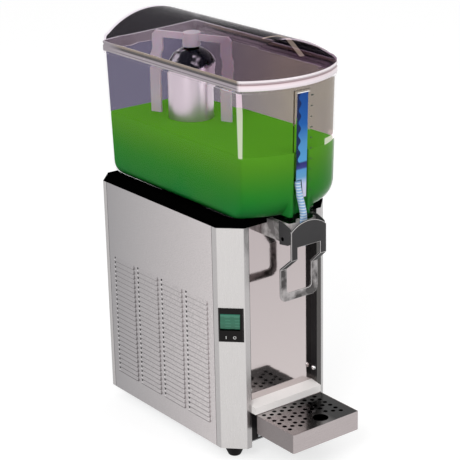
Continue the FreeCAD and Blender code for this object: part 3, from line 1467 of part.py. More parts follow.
def oval(z, width, thick):
    """Flat oval outline round the tube's line: two straight sides and two round ends."""
    half = thick / 2
    reach = width / 2 - half
    y = PINCH_Y
    return Part.Wire([
        line((-reach, y - half, z), (reach, y - half, z)),
        arc((reach, y - half, z), (reach + half, y, z), (reach, y + half, z)),
        line((reach, y + half, z), (-reach, y + half, z)),
        arc((-reach, y + half, z), (-reach - half, y, z), (-reach, y - half, z)),
    ])


def quartered_circle(z, radius):
    """Circle round the tube's line in four arcs that start where the oval's sides do."""
    corner = [V(radius * math.cos(math.radians(a)), radius * math.sin(math.radians(a)), 0) for a in range(225, 586, 45)]
    points = [(c.x, PINCH_Y + c.y, z) for c in corner]
    return Part.Wire([arc(points[k], points[k + 1], points[k + 2]) for k in range(0, 8, 2)])


def soft_tube(radius, width, thick, extra):
    """Tube from the nipple down to the pinch, and flat from there to its end."""
    ceiling = BOWL_BOTTOM + POCKET_HEIGHT
    outlet_y = FRONT - OUTLET_SETOUT
    pinch_z = PINCH_Z + PINCH_BAR
    full_z = pinch_z + 2 * PINCH_BAR
    round_part = tube(
        [
            (OUTLET_X, outlet_y, ceiling - RUNNING_GAP + extra),
            (OUTLET_X, outlet_y, ceiling - TUBE_STRAIGHT),
            (0, PINCH_Y, full_z + TUBE_BEND),
            (0, PINCH_Y, full_z),
        ],
        radius,
        TUBE_BEND,
    )
    low = PIN_Z - TUBE_DROP - extra
    sections = [quartered_circle(full_z, radius), oval(pinch_z, width, thick), oval(low, width, thick)]
    return joined(round_part, Part.makeLoft(sections, True, True))


def make_pinch_tube():
    outside = soft_tube(TUBE_RADIUS, PINCHED_WIDTH, PINCHED_THICK, 0)
    inside = soft_tube(TUBE_BORE, PINCHED_BORE_WIDTH, PINCHED_BORE, 1)
    return outside.cut(inside)


# Switch, modelled flat with X along the chamfer's face and Y into the cabinet

def on_chamfer(shape):
    """Move a piece from the flat switch frame to the left chamfer."""
    shape.rotate(V(0, 0, 0), UP, -45)
    shape.translate(V(-HALF, FRONT + CHAMFER, 0))
    return shape


def switch_window(gap, depth0, depth1):
    """Window for the rocker, gap mm larger than it all round."""
    return block(
        (ROCKER_START - gap, depth0, rocker_low() - gap),
        (ROCKER_START + ROCKER_WIDTH + gap, depth1, rocker_low() + ROCKER_HEIGHT + gap),
    )


def switch_cutout():
    """Opening in the column behind the bezel."""
    inset = SWITCH_BODY_INSET
    return block(
        (BEZEL_START + inset, -1, BASE + BEZEL_LOW + inset),
        (BEZEL_START + BEZEL_WIDTH - inset, 2 * COLUMN_SHEET, BASE + BEZEL_LOW + BEZEL_HEIGHT - inset),
    )


def make_switch_bezel():
    """Black frame round the rocker, with sloping edges and a flat field below for the symbols."""
    low = BASE + BEZEL_LOW
    high = low + BEZEL_HEIGHT
    left = BEZEL_START
    right = left + BEZEL_WIDTH
    inset = BEZEL_THICK / 2
    back = [(left, 0, low), (right, 0, low), (right, 0, high), (left, 0, high)]
    front = [
        (left + inset, -BEZEL_THICK, low + inset),
        (right - inset, -BEZEL_THICK, low + inset),
        (right - inset, -BEZEL_THICK, high - inset),
        (left + inset, -BEZEL_THICK, high - inset),
    ]
    frame = Part.makeLoft([polygon_wire(back), polygon_wire(front)], True, True)
    return on_chamfer(frame.cut(switch_window(ROCKER_GAP, -2 * BEZEL_THICK, 1)))


def make_switch_body():
    """Box behind the bezel that holds the rocker's pivot."""
    inset = SWITCH_BODY_INSET + RUNNING_GAP
    shell = block(
        (BEZEL_START + inset, 0, BASE + BEZEL_LOW + inset),
        (BEZEL_START + BEZEL_WIDTH - inset, SWITCH_BODY_DEPTH, BASE + BEZEL_LOW + BEZEL_HEIGHT - inset),
    )
    room = switch_window(ROCKER_GAP, 0, SWITCH_BODY_DEPTH - SWITCH_BODY_WALL)
    pivot = rod(
        (ROCKER_START - 2 * ROCKER_GAP, ROCKER_PIVOT_DEPTH, rocker_middle()),
        (ROCKER_START + ROCKER_WIDTH + 2 * ROCKER_GAP, ROCKER_PIVOT_DEPTH, rocker_middle()),
        ROCKER_PIN,
    )
    return on_chamfer(joined(shell.cut(room), pivot))


def rocker_low():
    """Height of the rocker's lower edge."""
    return BASE + BEZEL_LOW + ROCKER_RISE


def rocker_middle():
    """Height of the rocker's pivot."""
    return rocker_low() + ROCKER_HEIGHT / 2


def make_switch_rocker():
    """Rocker with a shallow roof shaped face, its round ends centred on the pivot, pressed in at the top."""
    reach = ROCKER_HEIGHT / 2
    drop = reach * math.tan(math.radians(ROCKER_TILT))
    peak = -ROCKER_PEAK - ROCKER_PIVOT_DEPTH
    back = SWITCH_BODY_DEPTH / 2 - ROCKER_PIVOT_DEPTH
    section = [
        (peak, 0),
        (peak + drop, reach + 1),
        (back, reach + 1),
        (back, -reach - 1),
        (peak + drop, -reach - 1),
    ]
    body = prism([(0, y, z) for y, z in section], (ROCKER_WIDTH, 0, 0))
    body = body.common(rod((0, 0, 0), (ROCKER_WIDTH, 0, 0), reach))
    body = body.cut(rod((0, 0, 0), (ROCKER_WIDTH, 0, 0), ROCKER_PIN + RUNNING_GAP))
    body.rotate(V(0, 0, 0), SIDEWAYS, -ROCKER_TILT)
    body.translate(V(ROCKER_START, ROCKER_PIVOT_DEPTH, rocker_middle()))
    return on_chamfer(body)


# Cooling plant and electrics

def make_compressor():
    r = COMPRESSOR_RADIUS
    low = BASE + BASE_SHEET + GROMMET_HEIGHT
    x = COMPRESSOR_X
    y = FRONT + COMPRESSOR_Y
    top = low + COMPRESSOR_HEIGHT
    waist = low + COMPRESSOR_HEIGHT * 0.55
    can = turned(
        [(0, low), (r * 0.72, low), (r * 0.96, low + r * 0.3), (r, low + r * 0.6), (r, waist),
         (r * 0.92, waist + r * 0.6), (r * 0.6, top - r * 0.1), (r * 0.2, top), (0, top)],
        x,
        y,
    )
    half = COMPRESSOR_PLATE_HALF
    plate = block((x - half, y - half, low), (x + half, y + half, low + COMPRESSOR_PLATE))
    stub_z = low + SUCTION_STUB_HEIGHT
    stub = rod((x, y, stub_z), (x, y + r + SUCTION_STUB_LENGTH, stub_z), LINE_RADIUS + 1)
    return joined(can, plate, stub)


def make_compressor_grommets():
    low = BASE + BASE_SHEET
    grommets = []
    for dx in (-GROMMET_OFFSET, GROMMET_OFFSET):
        for dy in (-GROMMET_OFFSET, GROMMET_OFFSET):
            x = COMPRESSOR_X + dx
            y = FRONT + COMPRESSOR_Y + dy
            grommets.append(pipe((x, y, low), (x, y, low + GROMMET_HEIGHT), GROMMET_RADIUS, GROMMET_RADIUS / 2))
    return Part.makeCompound(grommets)


def condenser_run_heights():
    """Heights of the condenser's straight runs, top first."""
    first = BASE + CONDENSER_FIRST_RUN
    return [first + k * CONDENSER_RUN_PITCH for k in reversed(range(CONDENSER_RUNS))]


def condenser_sheet(x, sheet, low, high):
    """Upright sheet across the air flow with a hole for each run."""
    plate = block((x, CONDENSER_FRONT, low), (x + sheet, CONDENSER_FRONT + CONDENSER_DEPTH, high))
    radius = LINE_RADIUS + FIN_HOLE_GAP
    holes = [rod((x, CONDENSER_MIDDLE, z), (x + sheet, CONDENSER_MIDDLE, z), radius) for z in condenser_run_heights()]
    return less(plate, *holes)


def make_condenser_fins():
    low = BASE + CONDENSER_LOW
    first = condenser_sheet(0, FIN_SHEET, low, low + CONDENSER_HEIGHT)
    step = 2 * CONDENSER_HALF / (FIN_COUNT + 1)
    fins = []
    for k in range(1, FIN_COUNT + 1):
        fin = first.copy()
        fin.translate(V(-CONDENSER_HALF + k * step, 0, 0))
        fins.append(fin)
    return Part.makeCompound(fins)


def make_condenser_frame():
    low = BASE + BASE_SHEET
    high = BASE + CONDENSER_LOW + CONDENSER_HEIGHT
    left = condenser_sheet(-CONDENSER_HALF, CONDENSER_FRAME, low, high)
    right = condenser_sheet(CONDENSER_HALF - CONDENSER_FRAME, CONDENSER_FRAME, low, high)
    return Part.makeCompound([left, right])


def make_condenser_coil():
    """Serpentine of straight runs joined by half turns."""
    heights = condenser_run_heights()
    y = CONDENSER_MIDDLE
    turn = CONDENSER_RUN_PITCH / 2
    edges = []
    start_x = CONDENSER_END
    for k, z in enumerate(heights):
        end_x = CONDENSER_END if k == len(heights) - 1 else CONDENSER_RUN_HALF * (-1 if k % 2 == 0 else 1)
        edges.append(line((start_x, y, z), (end_x, y, z)))
        if k < len(heights) - 1:
            side = math.copysign(turn, end_x)
            edges.append(arc((end_x, y, z), (end_x + side, y, z - turn), (end_x, y, z - 2 * turn)))
        start_x = end_x
    section = Part.Wire(Part.Circle(V(CONDENSER_END, y, heights[0]), SIDEWAYS, LINE_RADIUS).toShape())
    return Part.Wire(edges).makePipeShell([section], True, False)


def make_fan_shroud():
    """Plate on the condenser's front with a ring round the fan and four arms to the motor's seat."""
    back = SHROUD_FRONT + SHROUD_SHEET
    plate = block((-SHROUD_HALF, SHROUD_FRONT, BASE + BASE_SHEET), (SHROUD_HALF, back, BASE + SHROUD_TOP))
    ring = rod((0, FAN_RING_FRONT, FAN_Z), (0, back, FAN_Z), FAN_RING + FAN_RING_WALL)
    hole = rod((0, FAN_RING_FRONT, FAN_Z), (0, back, FAN_Z), FAN_RING)
    arms = []
    arm_back = FAN_RING_FRONT + FAN_ARM_THICK
    half = FAN_ARM_WIDTH / 2
    reach = FAN_RING + FAN_RING_WALL / 2
    arms.append(block((-half, FAN_RING_FRONT, FAN_Z - reach), (half, arm_back, FAN_Z + reach)))
    arms.append(block((-reach, FAN_RING_FRONT, FAN_Z - half), (reach, arm_back, FAN_Z + half)))
    seat = rod((0, FAN_RING_FRONT, FAN_Z), (0, arm_back, FAN_Z), FAN_MOTOR_RADIUS + FAN_MOTOR_RING)
    bore = rod((0, FAN_RING_FRONT, FAN_Z), (0, arm_back, FAN_Z), FAN_MOTOR_RADIUS)
    return less(joined(less(joined(plate, ring), hole), *arms, seat), bore)


def make_fan_motor():
    back = FAN_RING_FRONT + FAN_ARM_THICK
    can = rod((0, back - FAN_MOTOR_LENGTH, FAN_Z), (0, back, FAN_Z), FAN_MOTOR_RADIUS)
    shaft = rod((0, back, FAN_Z), (0, SHROUD_FRONT, FAN_Z), FAN_SHAFT)
    return joined(can, shaft)


def make_fan_blades():
    """Hub with tilted blades on the motor's shaft."""
    middle = FAN_RING_FRONT + FAN_ARM_THICK + 1.0 + FAN_HUB_DEPTH / 2
    hub = rod((0, -FAN_HUB_DEPTH / 2, 0), (0, FAN_HUB_DEPTH / 2, 0), FAN_HUB)
    blade = block(
        (-FAN_BLADE_WIDTH / 2, -FAN_BLADE_THICK / 2, FAN_HUB * 0.8),
        (FAN_BLADE_WIDTH / 2, FAN_BLADE_THICK / 2, FAN_TIP),
    )
    blade.rotate(V(0, 0, 0), UP, FAN_BLADE_TILT)
    blades = []
    for k in range(FAN_BLADES):
        turned_blade = blade.copy()
        turned_blade.rotate(V(0, 0, 0), BACKWARD, 360 * k / FAN_BLADES)
        blades.append(turned_blade)
    bore = rod((0, -FAN_HUB_DEPTH, 0), (0, FAN_HUB_DEPTH, 0), FAN_SHAFT + RUNNING_GAP)
    fan = less(joined(hub, *blades), bore)
    fan.translate(V(0, middle, FAN_Z))
    return fan


def make_filter_drier():
    low = BASE + DRIER_LOW
    r = DRIER_RADIUS
    top = low + DRIER_LENGTH
    profile = [
        (0, low), (LINE_RADIUS + 1, low), (r, low + r), (r, top - r), (LINE_RADIUS + 1, top), (0, top),
    ]
    return turned(profile, DRIER_X, FRONT + DRIER_Y)


def make_discharge_line():
    """From the compressor's crown to the condenser's upper end."""
    x = COMPRESSOR_X
    y = FRONT + COMPRESSOR_Y
    top = BASE + BASE_SHEET + GROMMET_HEIGHT + COMPRESSOR_HEIGHT
    upper = condenser_run_heights()[0]
    lane_z = top + 4 * LINE_BEND
    return tube(
        [(x, y, top), (x, y, lane_z), (LANE_X, y, lane_z), (LANE_X, CONDENSER_MIDDLE, lane_z),
         (LANE_X, CONDENSER_MIDDLE, upper), (CONDENSER_END, CONDENSER_MIDDLE, upper)],
        LINE_RADIUS,
        LINE_BEND,
    )


def make_liquid_line():
    """From the condenser's lower end through the drier to the evaporator, as two lengths."""
    lower = condenser_run_heights()[-1]
    x = DRIER_X
    y = FRONT + DRIER_Y
    floor_z = lower - 4 * LINE_BEND
    first = tube(
        [(CONDENSER_END, CONDENSER_MIDDLE, lower), (LANE_X, CONDENSER_MIDDLE, lower),
         (LANE_X, CONDENSER_MIDDLE, floor_z), (LANE_X, y, floor_z), (x, y, floor_z), (x, y, BASE + DRIER_LOW)],
        LINE_RADIUS,
        LINE_BEND,
    )
    port_y = AXIS_Y - PORT_OFFSET
    second = tube(
        [(x, y, BASE + DRIER_LOW + DRIER_LENGTH), (x, y, LINE_LANE_Z), (x, port_y, LINE_LANE_Z),
         (PORT_OFFSET, port_y, LINE_LANE_Z), (PORT_OFFSET, port_y, TOP_PLATE_LOW)],
        LINE_RADIUS,
        LINE_BEND,
    )
    return Part.makeCompound([first, second])


def make_suction_line():
    """From the evaporator down to the compressor's side."""
    port_y = AXIS_Y - PORT_OFFSET
    stub_z = BASE + BASE_SHEET + GROMMET_HEIGHT + SUCTION_STUB_HEIGHT
    end_y = FRONT + COMPRESSOR_Y + COMPRESSOR_RADIUS + SUCTION_STUB_LENGTH
    return tube(
        [(-PORT_OFFSET, port_y, TOP_PLATE_LOW), (-PORT_OFFSET, port_y, LINE_LANE_Z),
         (-LANE_X, port_y, LINE_LANE_Z), (-LANE_X, port_y, stub_z),
         (COMPRESSOR_X, port_y, stub_z), (COMPRESSOR_X, end_y, stub_z)],
        LINE_RADIUS,
        LINE_BEND,
    )


def make_control_box():
    """Box on the back of the mirror panel."""
    front = MIRROR_Y + MIRROR_SHEET
    low = CONTROL_LOW
    high = low + CONTROL_HEIGHT
    w = CONTROL_WALL
    outer = block((-CONTROL_HALF, front, low), (CONTROL_HALF, front + CONTROL_DEPTH, high))
    inner = block((-CONTROL_HALF + w, front + w, low + w), (CONTROL_HALF - w, front + CONTROL_DEPTH - w, high - w))
    return outer.cut(inner)


def make_thermostat():
    """Box on the side of the control box with a capped capillary stub on top."""
    front = MIRROR_Y + MIRROR_SHEET + CONTROL_WALL
    low = CONTROL_LOW + THERMOSTAT_RISE
    high = low + THERMOSTAT_HEIGHT
    right = CONTROL_HALF + THERMOSTAT_WIDTH
    body = block((CONTROL_HALF, front, low), (right, front + THERMOSTAT_DEPTH, high))
    x = CONTROL_HALF + THERMOSTAT_WIDTH / 2
    y = front + THERMOSTAT_DEPTH / 2
    bulb = rod((x, y, high), (x, y, high + THERMOSTAT_DEPTH), THERMOSTAT_BULB)
    return joined(body, bulb)


NODES = {
    "base_plate": make_base_plate,
    "front_left_column": make_front_left_column,
    "front_right_column": make_front_right_column,
    "rear_left_column": make_rear_left_column,
    "rear_right_column": lambda: mirrored(make_rear_left_column()),
    "left_side_panel": make_left_side_panel,
    "right_side_panel": lambda: mirrored(make_left_side_panel()),
    "rear_panel": make_rear_panel,
    "rear_screws": make_rear_screws,
    "cord_bush": make_cord_bush,
    "feet": make_feet,
    "foot_bolts": make_foot_bolts,
    "mirror_panel": make_mirror_panel,
    "column_strips": make_column_strips,
    "trim_screws": make_trim_screws,
    "tray_ledge": make_tray_ledge,
    "kick_plate": make_kick_plate,
    "tray_rails": make_tray_rails,
    "drip_tray": make_drip_tray,
    "drip_grid": make_drip_grid,
    "deck": make_deck,
    "deck_insulation": make_deck_insulation,
    "top_plate": make_top_plate,
    "bowl": make_bowl,
    "bowl_seal": make_bowl_seal,
    "level_strip": make_level_strip,
    "drink": make_drink,
    "lid": make_lid,
    "evaporator": make_evaporator,
    "evaporator_coil": make_evaporator_coil,
    "stirrer": make_stirrer,
    "stirrer_magnet": make_stirrer_magnet,
    "drive_shaft": make_drive_shaft,
    "drive_magnet": make_drive_magnet,
    "shaft_bushes": make_shaft_bushes,
    "gear_motor": make_gear_motor,
    "motor_bracket": make_motor_bracket,
    "tap_housing": make_tap_housing,
    "tap_screws": make_tap_screws,
    "tap_pin": make_tap_pin,
    "tap_lever": make_tap_lever,
    "lever_spring": make_lever_spring,
    "pinch_tube": make_pinch_tube,
    "switch_bezel": make_switch_bezel,
    "switch_body": make_switch_body,
    "switch_rocker": make_switch_rocker,
    "compressor": make_compressor,
    "compressor_grommets": make_compressor_grommets,
    "condenser_fins": make_condenser_fins,
    "condenser_frame": make_condenser_frame,
    "condenser_coil": make_condenser_coil,
    "fan_shroud": make_fan_shroud,
    "fan_motor": make_fan_motor,
    "fan_blades": make_fan_blades,
    "filter_drier": make_filter_drier,
    "discharge_line": make_discharge_line,
    "liquid_line": make_liquid_line,
    "suction_line": make_suction_line,
    "control_box": make_control_box,
    "thermostat": make_thermostat,
}


def main():
    os.makedirs("parts", exist_ok=True)
    for name, make in NODES.items():
        shape = make()
        valid = shape.isValid()
        solids = len(shape.Solids)
        print(f"{name:22s} valid {valid} solids {solids} volume {shape.Volume / 1000:.2f} cm3")
        shape.exportStep(f"parts/{name}.step")


main()
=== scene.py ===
# %% [markdown]
# # A cold drink dispenser, surface by surface
#
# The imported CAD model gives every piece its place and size, in metres. This notebook dresses it: clear and
# smoked plastic, satin and polished steel, moulded black plastic, a green drink. Shapes that light runs
# over, such as the bowl, the lid and the drink, are worked out here again as smooth surfaces with numpy,
# because the CAD mesh is made of flat triangles and glass shows each one.

import math

import bmesh
import bpy
import numpy as np
from mathutils import Matrix, Vector


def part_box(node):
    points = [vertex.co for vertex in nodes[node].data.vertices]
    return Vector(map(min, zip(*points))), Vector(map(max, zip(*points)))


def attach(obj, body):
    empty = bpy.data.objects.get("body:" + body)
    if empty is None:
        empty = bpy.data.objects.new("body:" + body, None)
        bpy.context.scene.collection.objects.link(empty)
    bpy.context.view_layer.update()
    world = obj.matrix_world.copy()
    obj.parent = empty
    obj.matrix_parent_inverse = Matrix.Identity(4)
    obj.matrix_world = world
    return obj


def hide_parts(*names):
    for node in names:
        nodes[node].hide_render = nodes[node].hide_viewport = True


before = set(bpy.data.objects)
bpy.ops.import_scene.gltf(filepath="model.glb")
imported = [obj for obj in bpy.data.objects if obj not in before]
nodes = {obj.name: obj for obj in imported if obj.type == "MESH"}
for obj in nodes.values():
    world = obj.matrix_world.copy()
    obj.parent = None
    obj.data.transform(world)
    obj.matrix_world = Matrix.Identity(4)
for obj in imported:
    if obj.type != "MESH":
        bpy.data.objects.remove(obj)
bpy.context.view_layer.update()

# %% [markdown]
# ## One way to measure
#
# On the drawing board a maker measures from the cabinet: sideways from its middle, backwards from its
# front face and upwards from its lower edge, in millimetres. `place` turns such distances into the
# model's frame. The model stands on its feet, and its origin is under the middle of the whole box.
# Fronts, vaults and domes are all arcs over a chord, so two small formulas serve them all.

# %% Distances from the cabinet, and arcs
MM = 0.001
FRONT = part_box("kick_plate")[0].y / MM
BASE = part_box("base_plate")[0].z / MM


def place(x, back, up):
    """Points in metres from millimetres sideways, behind the cabinet's front and above its lower edge."""
    grid = np.broadcast_arrays(x, np.asarray(back) + FRONT, np.asarray(up) + BASE)
    return np.stack(grid, axis=-1).astype(float) * MM


def arc_radius(half, rise):
    """Radius of an arc over a chord: half chord squared plus rise squared, over twice the rise."""
    return (half**2 + rise**2) / (2 * rise)


def sag(radius, x):
    """How far an arc has fallen from its crown at x: radius minus the root of radius² - x²."""
    return radius - np.sqrt(radius**2 - x**2)


print("front plane", FRONT, "lower edge", BASE)

# %% [markdown]
# ## From a grid of points to a piece
#
# Every new surface is a grid: rows along one parameter, columns along the other. One helper joins each
# point to its neighbours with four sided faces. A second one welds points that fall together, turns all
# faces outwards and keeps edges sharp only where the surface really bends.

# %% Grid to mesh
def grid_faces(rows, columns, wrap=True, close=False):
    """Quads of a grid as point numbers: each joins (r, c), (r, c+1), (r+1, c+1), (r+1, c)."""
    number = np.arange(rows * columns).reshape(rows, columns)
    if wrap:
        number = np.concatenate([number, number[:, :1]], axis=1)
    if close:
        number = np.concatenate([number, number[:1]], axis=0)
    corners = (number[:-1, :-1], number[:-1, 1:], number[1:, 1:], number[1:, :-1])
    return np.stack(corners, axis=-1).reshape(-1, 4)


def weld(mesh, bend):
    """Merge doubles, turn faces outwards and shade smooth up to a bend in degrees."""
    work = bmesh.new()
    work.from_mesh(mesh)
    bmesh.ops.remove_doubles(work, verts=work.verts, dist=2e-6)
    bmesh.ops.dissolve_degenerate(work, dist=1e-6, edges=work.edges)
    bmesh.ops.recalc_face_normals(work, faces=work.faces)
    work.to_mesh(mesh)
    work.free()
    mesh.shade_smooth()
    mesh.set_sharp_from_angle(angle=math.radians(bend))


def put(name, data):
    """A new object at the origin that holds the data."""
    made = bpy.data.objects.new(name, data)
    bpy.context.scene.collection.objects.link(made)
    return made


def piece(name, points, faces, materials, body, slot, picks=None, bend=32.0):
    """A mesh object at the origin, with its materials, that rides on a CAD body."""
    mesh = bpy.data.meshes.new(name)
    mesh.from_pydata(points.reshape(-1, 3).tolist(), [], [list(map(int, f)) for f in faces])
    for material in materials:
        mesh.materials.append(material)
    if picks is not None:
        mesh.polygons.foreach_set("material_index", np.asarray(picks, dtype=np.int32))
    weld(mesh, bend)
    made = put(name, mesh)
    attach(made, body)
    print(name, "has", len(mesh.polygons), "faces")
    return made


def ring_piece(name, rows, materials, body, slot, **rest):
    """A piece from a grid that closes on itself both ways, as a thick walled vessel or tube does."""
    return piece(name, rows, grid_faces(*rows.shape[:2], close=True), materials, body, slot, **rest)


# %% [markdown]
# ## Colours as written
#
# A colour picked from a screen is stored with a curve, while Blender's sockets want straight light. `tone`
# undoes the curve, so a value of 72 on the screen renders as about 72 again. Clear plastic is different:
# its colour is the share of light that passes, and is given straight.

# %% Screen colours to light
def tone(red, green, blue):
    """Screen values 0 to 255 to linear light: small ones over 12.92, the rest to the power 2.4."""
    screen = np.array([red, green, blue]) / 255
    light = np.where(screen <= 0.04045, screen / 12.92, ((screen + 0.055) / 1.055) ** 2.4)
    return (*light.tolist(), 1.0)


WHITE, DARK = (1.0, 1.0, 1.0, 1.0), (0.0, 0.0, 0.0, 1.0)

# %% [markdown]
# ## A small kit for materials
#
# A material is a Principled shader plus a few nodes. A mask is a value that is 1 on a part of the
# surface and 0 elsewhere.

# %% Values
class Value:
    """A number or colour over the surface; arithmetic adds math nodes, and | takes the larger of two."""

    def __init__(self, kit, socket):
        self.kit, self.socket = kit, socket

    def __add__(self, other):
        return self.kit.calc("ADD", self, other)

    def __sub__(self, other):
        return self.kit.calc("SUBTRACT", self, other)

    def __mul__(self, other):
        return self.kit.calc("MULTIPLY", self, other)

    def __truediv__(self, other):
        return self.kit.calc("DIVIDE", self, other)

    def __or__(self, other):
        return self.kit.calc("MAXIMUM", self, other)

    def __lt__(self, other):
        return self.kit.calc("LESS_THAN", self, other)

    def __gt__(self, other):
        return self.kit.calc("GREATER_THAN", self, other)

    def __abs__(self):
        return self.kit.calc("ABSOLUTE", self)

    def repeat(self):
        """What is over the whole number, so that it runs from 0 to 1 again and again."""
        return self.kit.calc("FRACT", self)

    def between(self, low, high):
        """1 where the number lies between two bounds, else 0."""
        return (self > low) * (self < high)

    def spread(self, low, high, out_low=0.0, out_high=1.0):
        """Straight map from one range of numbers to another, held at its ends."""
        ends = {"From Min": low, "From Max": high, "To Min": out_low, "To Max": out_high}
        return self.kit.add("ShaderNodeMapRange", "Result", {"Value": self, **ends}, clamp=True)

    def mix(self, first, second):
        """Blend of two colours, where this value is the share of the second."""
        return self.kit.add("ShaderNodeMix", 2, {0: self, 6: first, 7: second}, data_type="RGBA")

    def ramp(self, *stops):
        """Colour from stops of place, red, green and blue, the colours in screen values."""
        colour = self.kit.add("ShaderNodeValToRGB", "Color", {"Fac": self})
        elements = colour.socket.node.color_ramp.elements
        for stop in stops[1:-1]:
            elements.new(stop[0])
        for element, (position, *screen) in zip(elements, stops):
            element.position = position
            element.color = tone(*screen)
        return colour


# %% Kit for any node tree
class Kit:
    """A node tree with shortcuts that add nodes and fill or join their sockets."""

    def __init__(self, tree):
        self.tree = tree

    def give(self, node, values):
        """Fill sockets, by name or number, with a number or colour, or join them to a Value."""
        for label, value in values.items():
            socket = node.inputs[label]
            if isinstance(value, Value):
                self.tree.links.new(value.socket, socket)
            else:
                socket.default_value = value

    def add(self, kind, output, values=None, **settings):
        """A node with its settings and sockets; gives one of its outputs as a Value."""
        node = self.tree.nodes.new(kind)
        for label, setting in settings.items():
            setattr(node, label, setting)
        self.give(node, values or {})
        return Value(self, node.outputs[output])

    def calc(self, operation, *values):
        """Math node on Values or plain numbers."""
        return self.add("ShaderNodeMath", 0, dict(enumerate(values)), operation=operation)

    def ray(self, kind):
        """1 for a ray of one kind, such as Camera or Glossy."""
        return self.add("ShaderNodeLightPath", f"Is {kind} Ray")


# %% [markdown]
# ## Effects that several finishes share
#
# Brushed streaks, a moulded grain and slow smudges come back in many finishes. Each is a node group with
# named inputs and outputs, built once, and each material sets its own scale and strength.

# %% Shared shader groups
def new_group(name, inputs, outputs):
    """Empty shader group with named sockets: its kit, its object coordinates and its output node."""
    group = bpy.data.node_groups.new(name, "ShaderNodeTree")
    for label, kind in inputs:
        group.interface.new_socket(label, in_out="INPUT", socket_type=kind)
    for label in outputs:
        group.interface.new_socket(label, in_out="OUTPUT", socket_type="NodeSocketFloat")
    kit = Kit(group)
    return kit, kit.add("ShaderNodeTexCoord", "Object"), group.nodes.new("NodeGroupOutput")


def streak_group():
    """Noise stretched along one axis: object coordinates times a stretch vector, then fractal noise."""
    kit, where, result = new_group("brushed streaks", [("Stretch", "NodeSocketVector")], ["Streak"])
    given = kit.add("NodeGroupInput", "Stretch")
    stretched = kit.add("ShaderNodeVectorMath", 0, {0: where, 1: given}, operation="MULTIPLY")
    noise = kit.add("ShaderNodeTexNoise", "Fac", {"Vector": stretched, "Scale": 1.0, "Detail": 3.0})
    kit.give(result, {"Streak": noise})
    return kit.tree


def grain_group():
    """Fine moulded grain and a slow mottle, both fractal noise of the object coordinates."""
    scales = [("Grain Scale", "NodeSocketFloat"), ("Mottle Scale", "NodeSocketFloat")]
    kit, where, result = new_group("moulded grain", scales, ["Grain", "Mottle"])
    for label, detail in (("Grain", 2.0), ("Mottle", 3.0)):
        scale = kit.add("NodeGroupInput", f"{label} Scale")
        noise = kit.add("ShaderNodeTexNoise", "Fac", {"Vector": where, "Scale": scale, "Detail": detail})
        kit.give(result, {label: noise})
    return kit.tree


STREAKS = streak_group()
GRAIN = grain_group()
print("shader groups:", STREAKS.name, "and", GRAIN.name)

# %% [markdown]
# A finish is a kit whose tree belongs to a new material. The recipes below are functions that fill in one
# finish each. `@finish` in front of a recipe makes the material, runs the recipe on it, and gives the
# material the recipe's name.

# %% Kit for a material
class Finish(Kit):
    """A new material: its Principled shader, object coordinates and the shared effects."""

    def __init__(self, name, **values):
        self.material = bpy.data.materials.new(name)
        self.material.use_nodes = True
        super().__init__(self.material.node_tree)
        self.set(**values)

    def set(self, **values):
        """Fill or join the shader's sockets; an underline stands for a space in a socket's name."""
        shader = self.tree.nodes["Principled BSDF"]
        self.give(shader, {label.replace("_", " "): value for label, value in values.items()})

    def axis(self, letter):
        """One object coordinate."""
        return self.add("ShaderNodeSeparateXYZ", letter, {0: self.add("ShaderNodeTexCoord", "Object")})

    def streaks(self, *stretch):
        return self.add("ShaderNodeGroup", "Streak", {"Stretch": stretch}, node_tree=STREAKS)

    def noise(self, kind, scale):
        """Grain or Mottle at a scale of its own."""
        return self.add("ShaderNodeGroup", kind, {f"{kind} Scale": scale}, node_tree=GRAIN)

    def rough(self, source, low, high):
        """Roughness that follows a noise."""
        self.set(Roughness=source.spread(0.3, 0.7, low, high))

    def bump(self, height, strength, distance):
        """Bump from a height into the shader's normal."""
        values = {"Height": height, "Strength": strength, "Distance": distance}
        self.set(Normal=self.add("ShaderNodeBump", "Normal", values))


def finish(name, make=Finish, **values):
    """Makes a finish, lets the recipe that follows fill it in, and gives the material."""

    def fill(recipe):
        made = make(name, **values)
        recipe(made)
        return made.material

    return fill


# %% [markdown]
# ## Steel
#
# The cabinet is satin steel: brushed along its height, so streaks are long in Z and very fine across. The
# streaks change the roughness and a little of the colour. The mirror panel is the same steel, polished.
# The louvres' slits are dark because the hoods shade them; that shade is part of the panel's colour, and so
# are the darker sides of the columns, the tray and the grid, which mirror a room that isn't built here.

# %% Brushed steel
EDGE = 0.0005
SIDE_FACE, FRONT_FACE, FAR_CHAMFER, GASKET_EDGE, DECK_LOW = 0.0992, -0.1123, 0.17, 0.0745, 0.33
TRAY_HALF, TRAY_WELL, TRAY_REAR, TRAY_FRONT = 0.0624, 0.0613, -0.1235, -0.2079


def brush(steel, stretch, rough):
    """Streaks in the roughness and the bump, given back for the colour."""
    streak = steel.streaks(*stretch)
    steel.rough(streak, rough + 0.05, rough - 0.04)
    steel.bump(streak, 0.06, 0.0002)
    return streak


@finish("zinc sheet", Metallic=1.0)
def zinc_finish(steel):
    """Hidden sheet metal with a short streak in all directions."""
    streak = brush(steel, (40.0, 40.0, 40.0), 0.42)
    steel.set(Base_Color=streak.spread(0.2, 0.8).mix(tone(146, 148, 150), tone(172, 174, 176)))


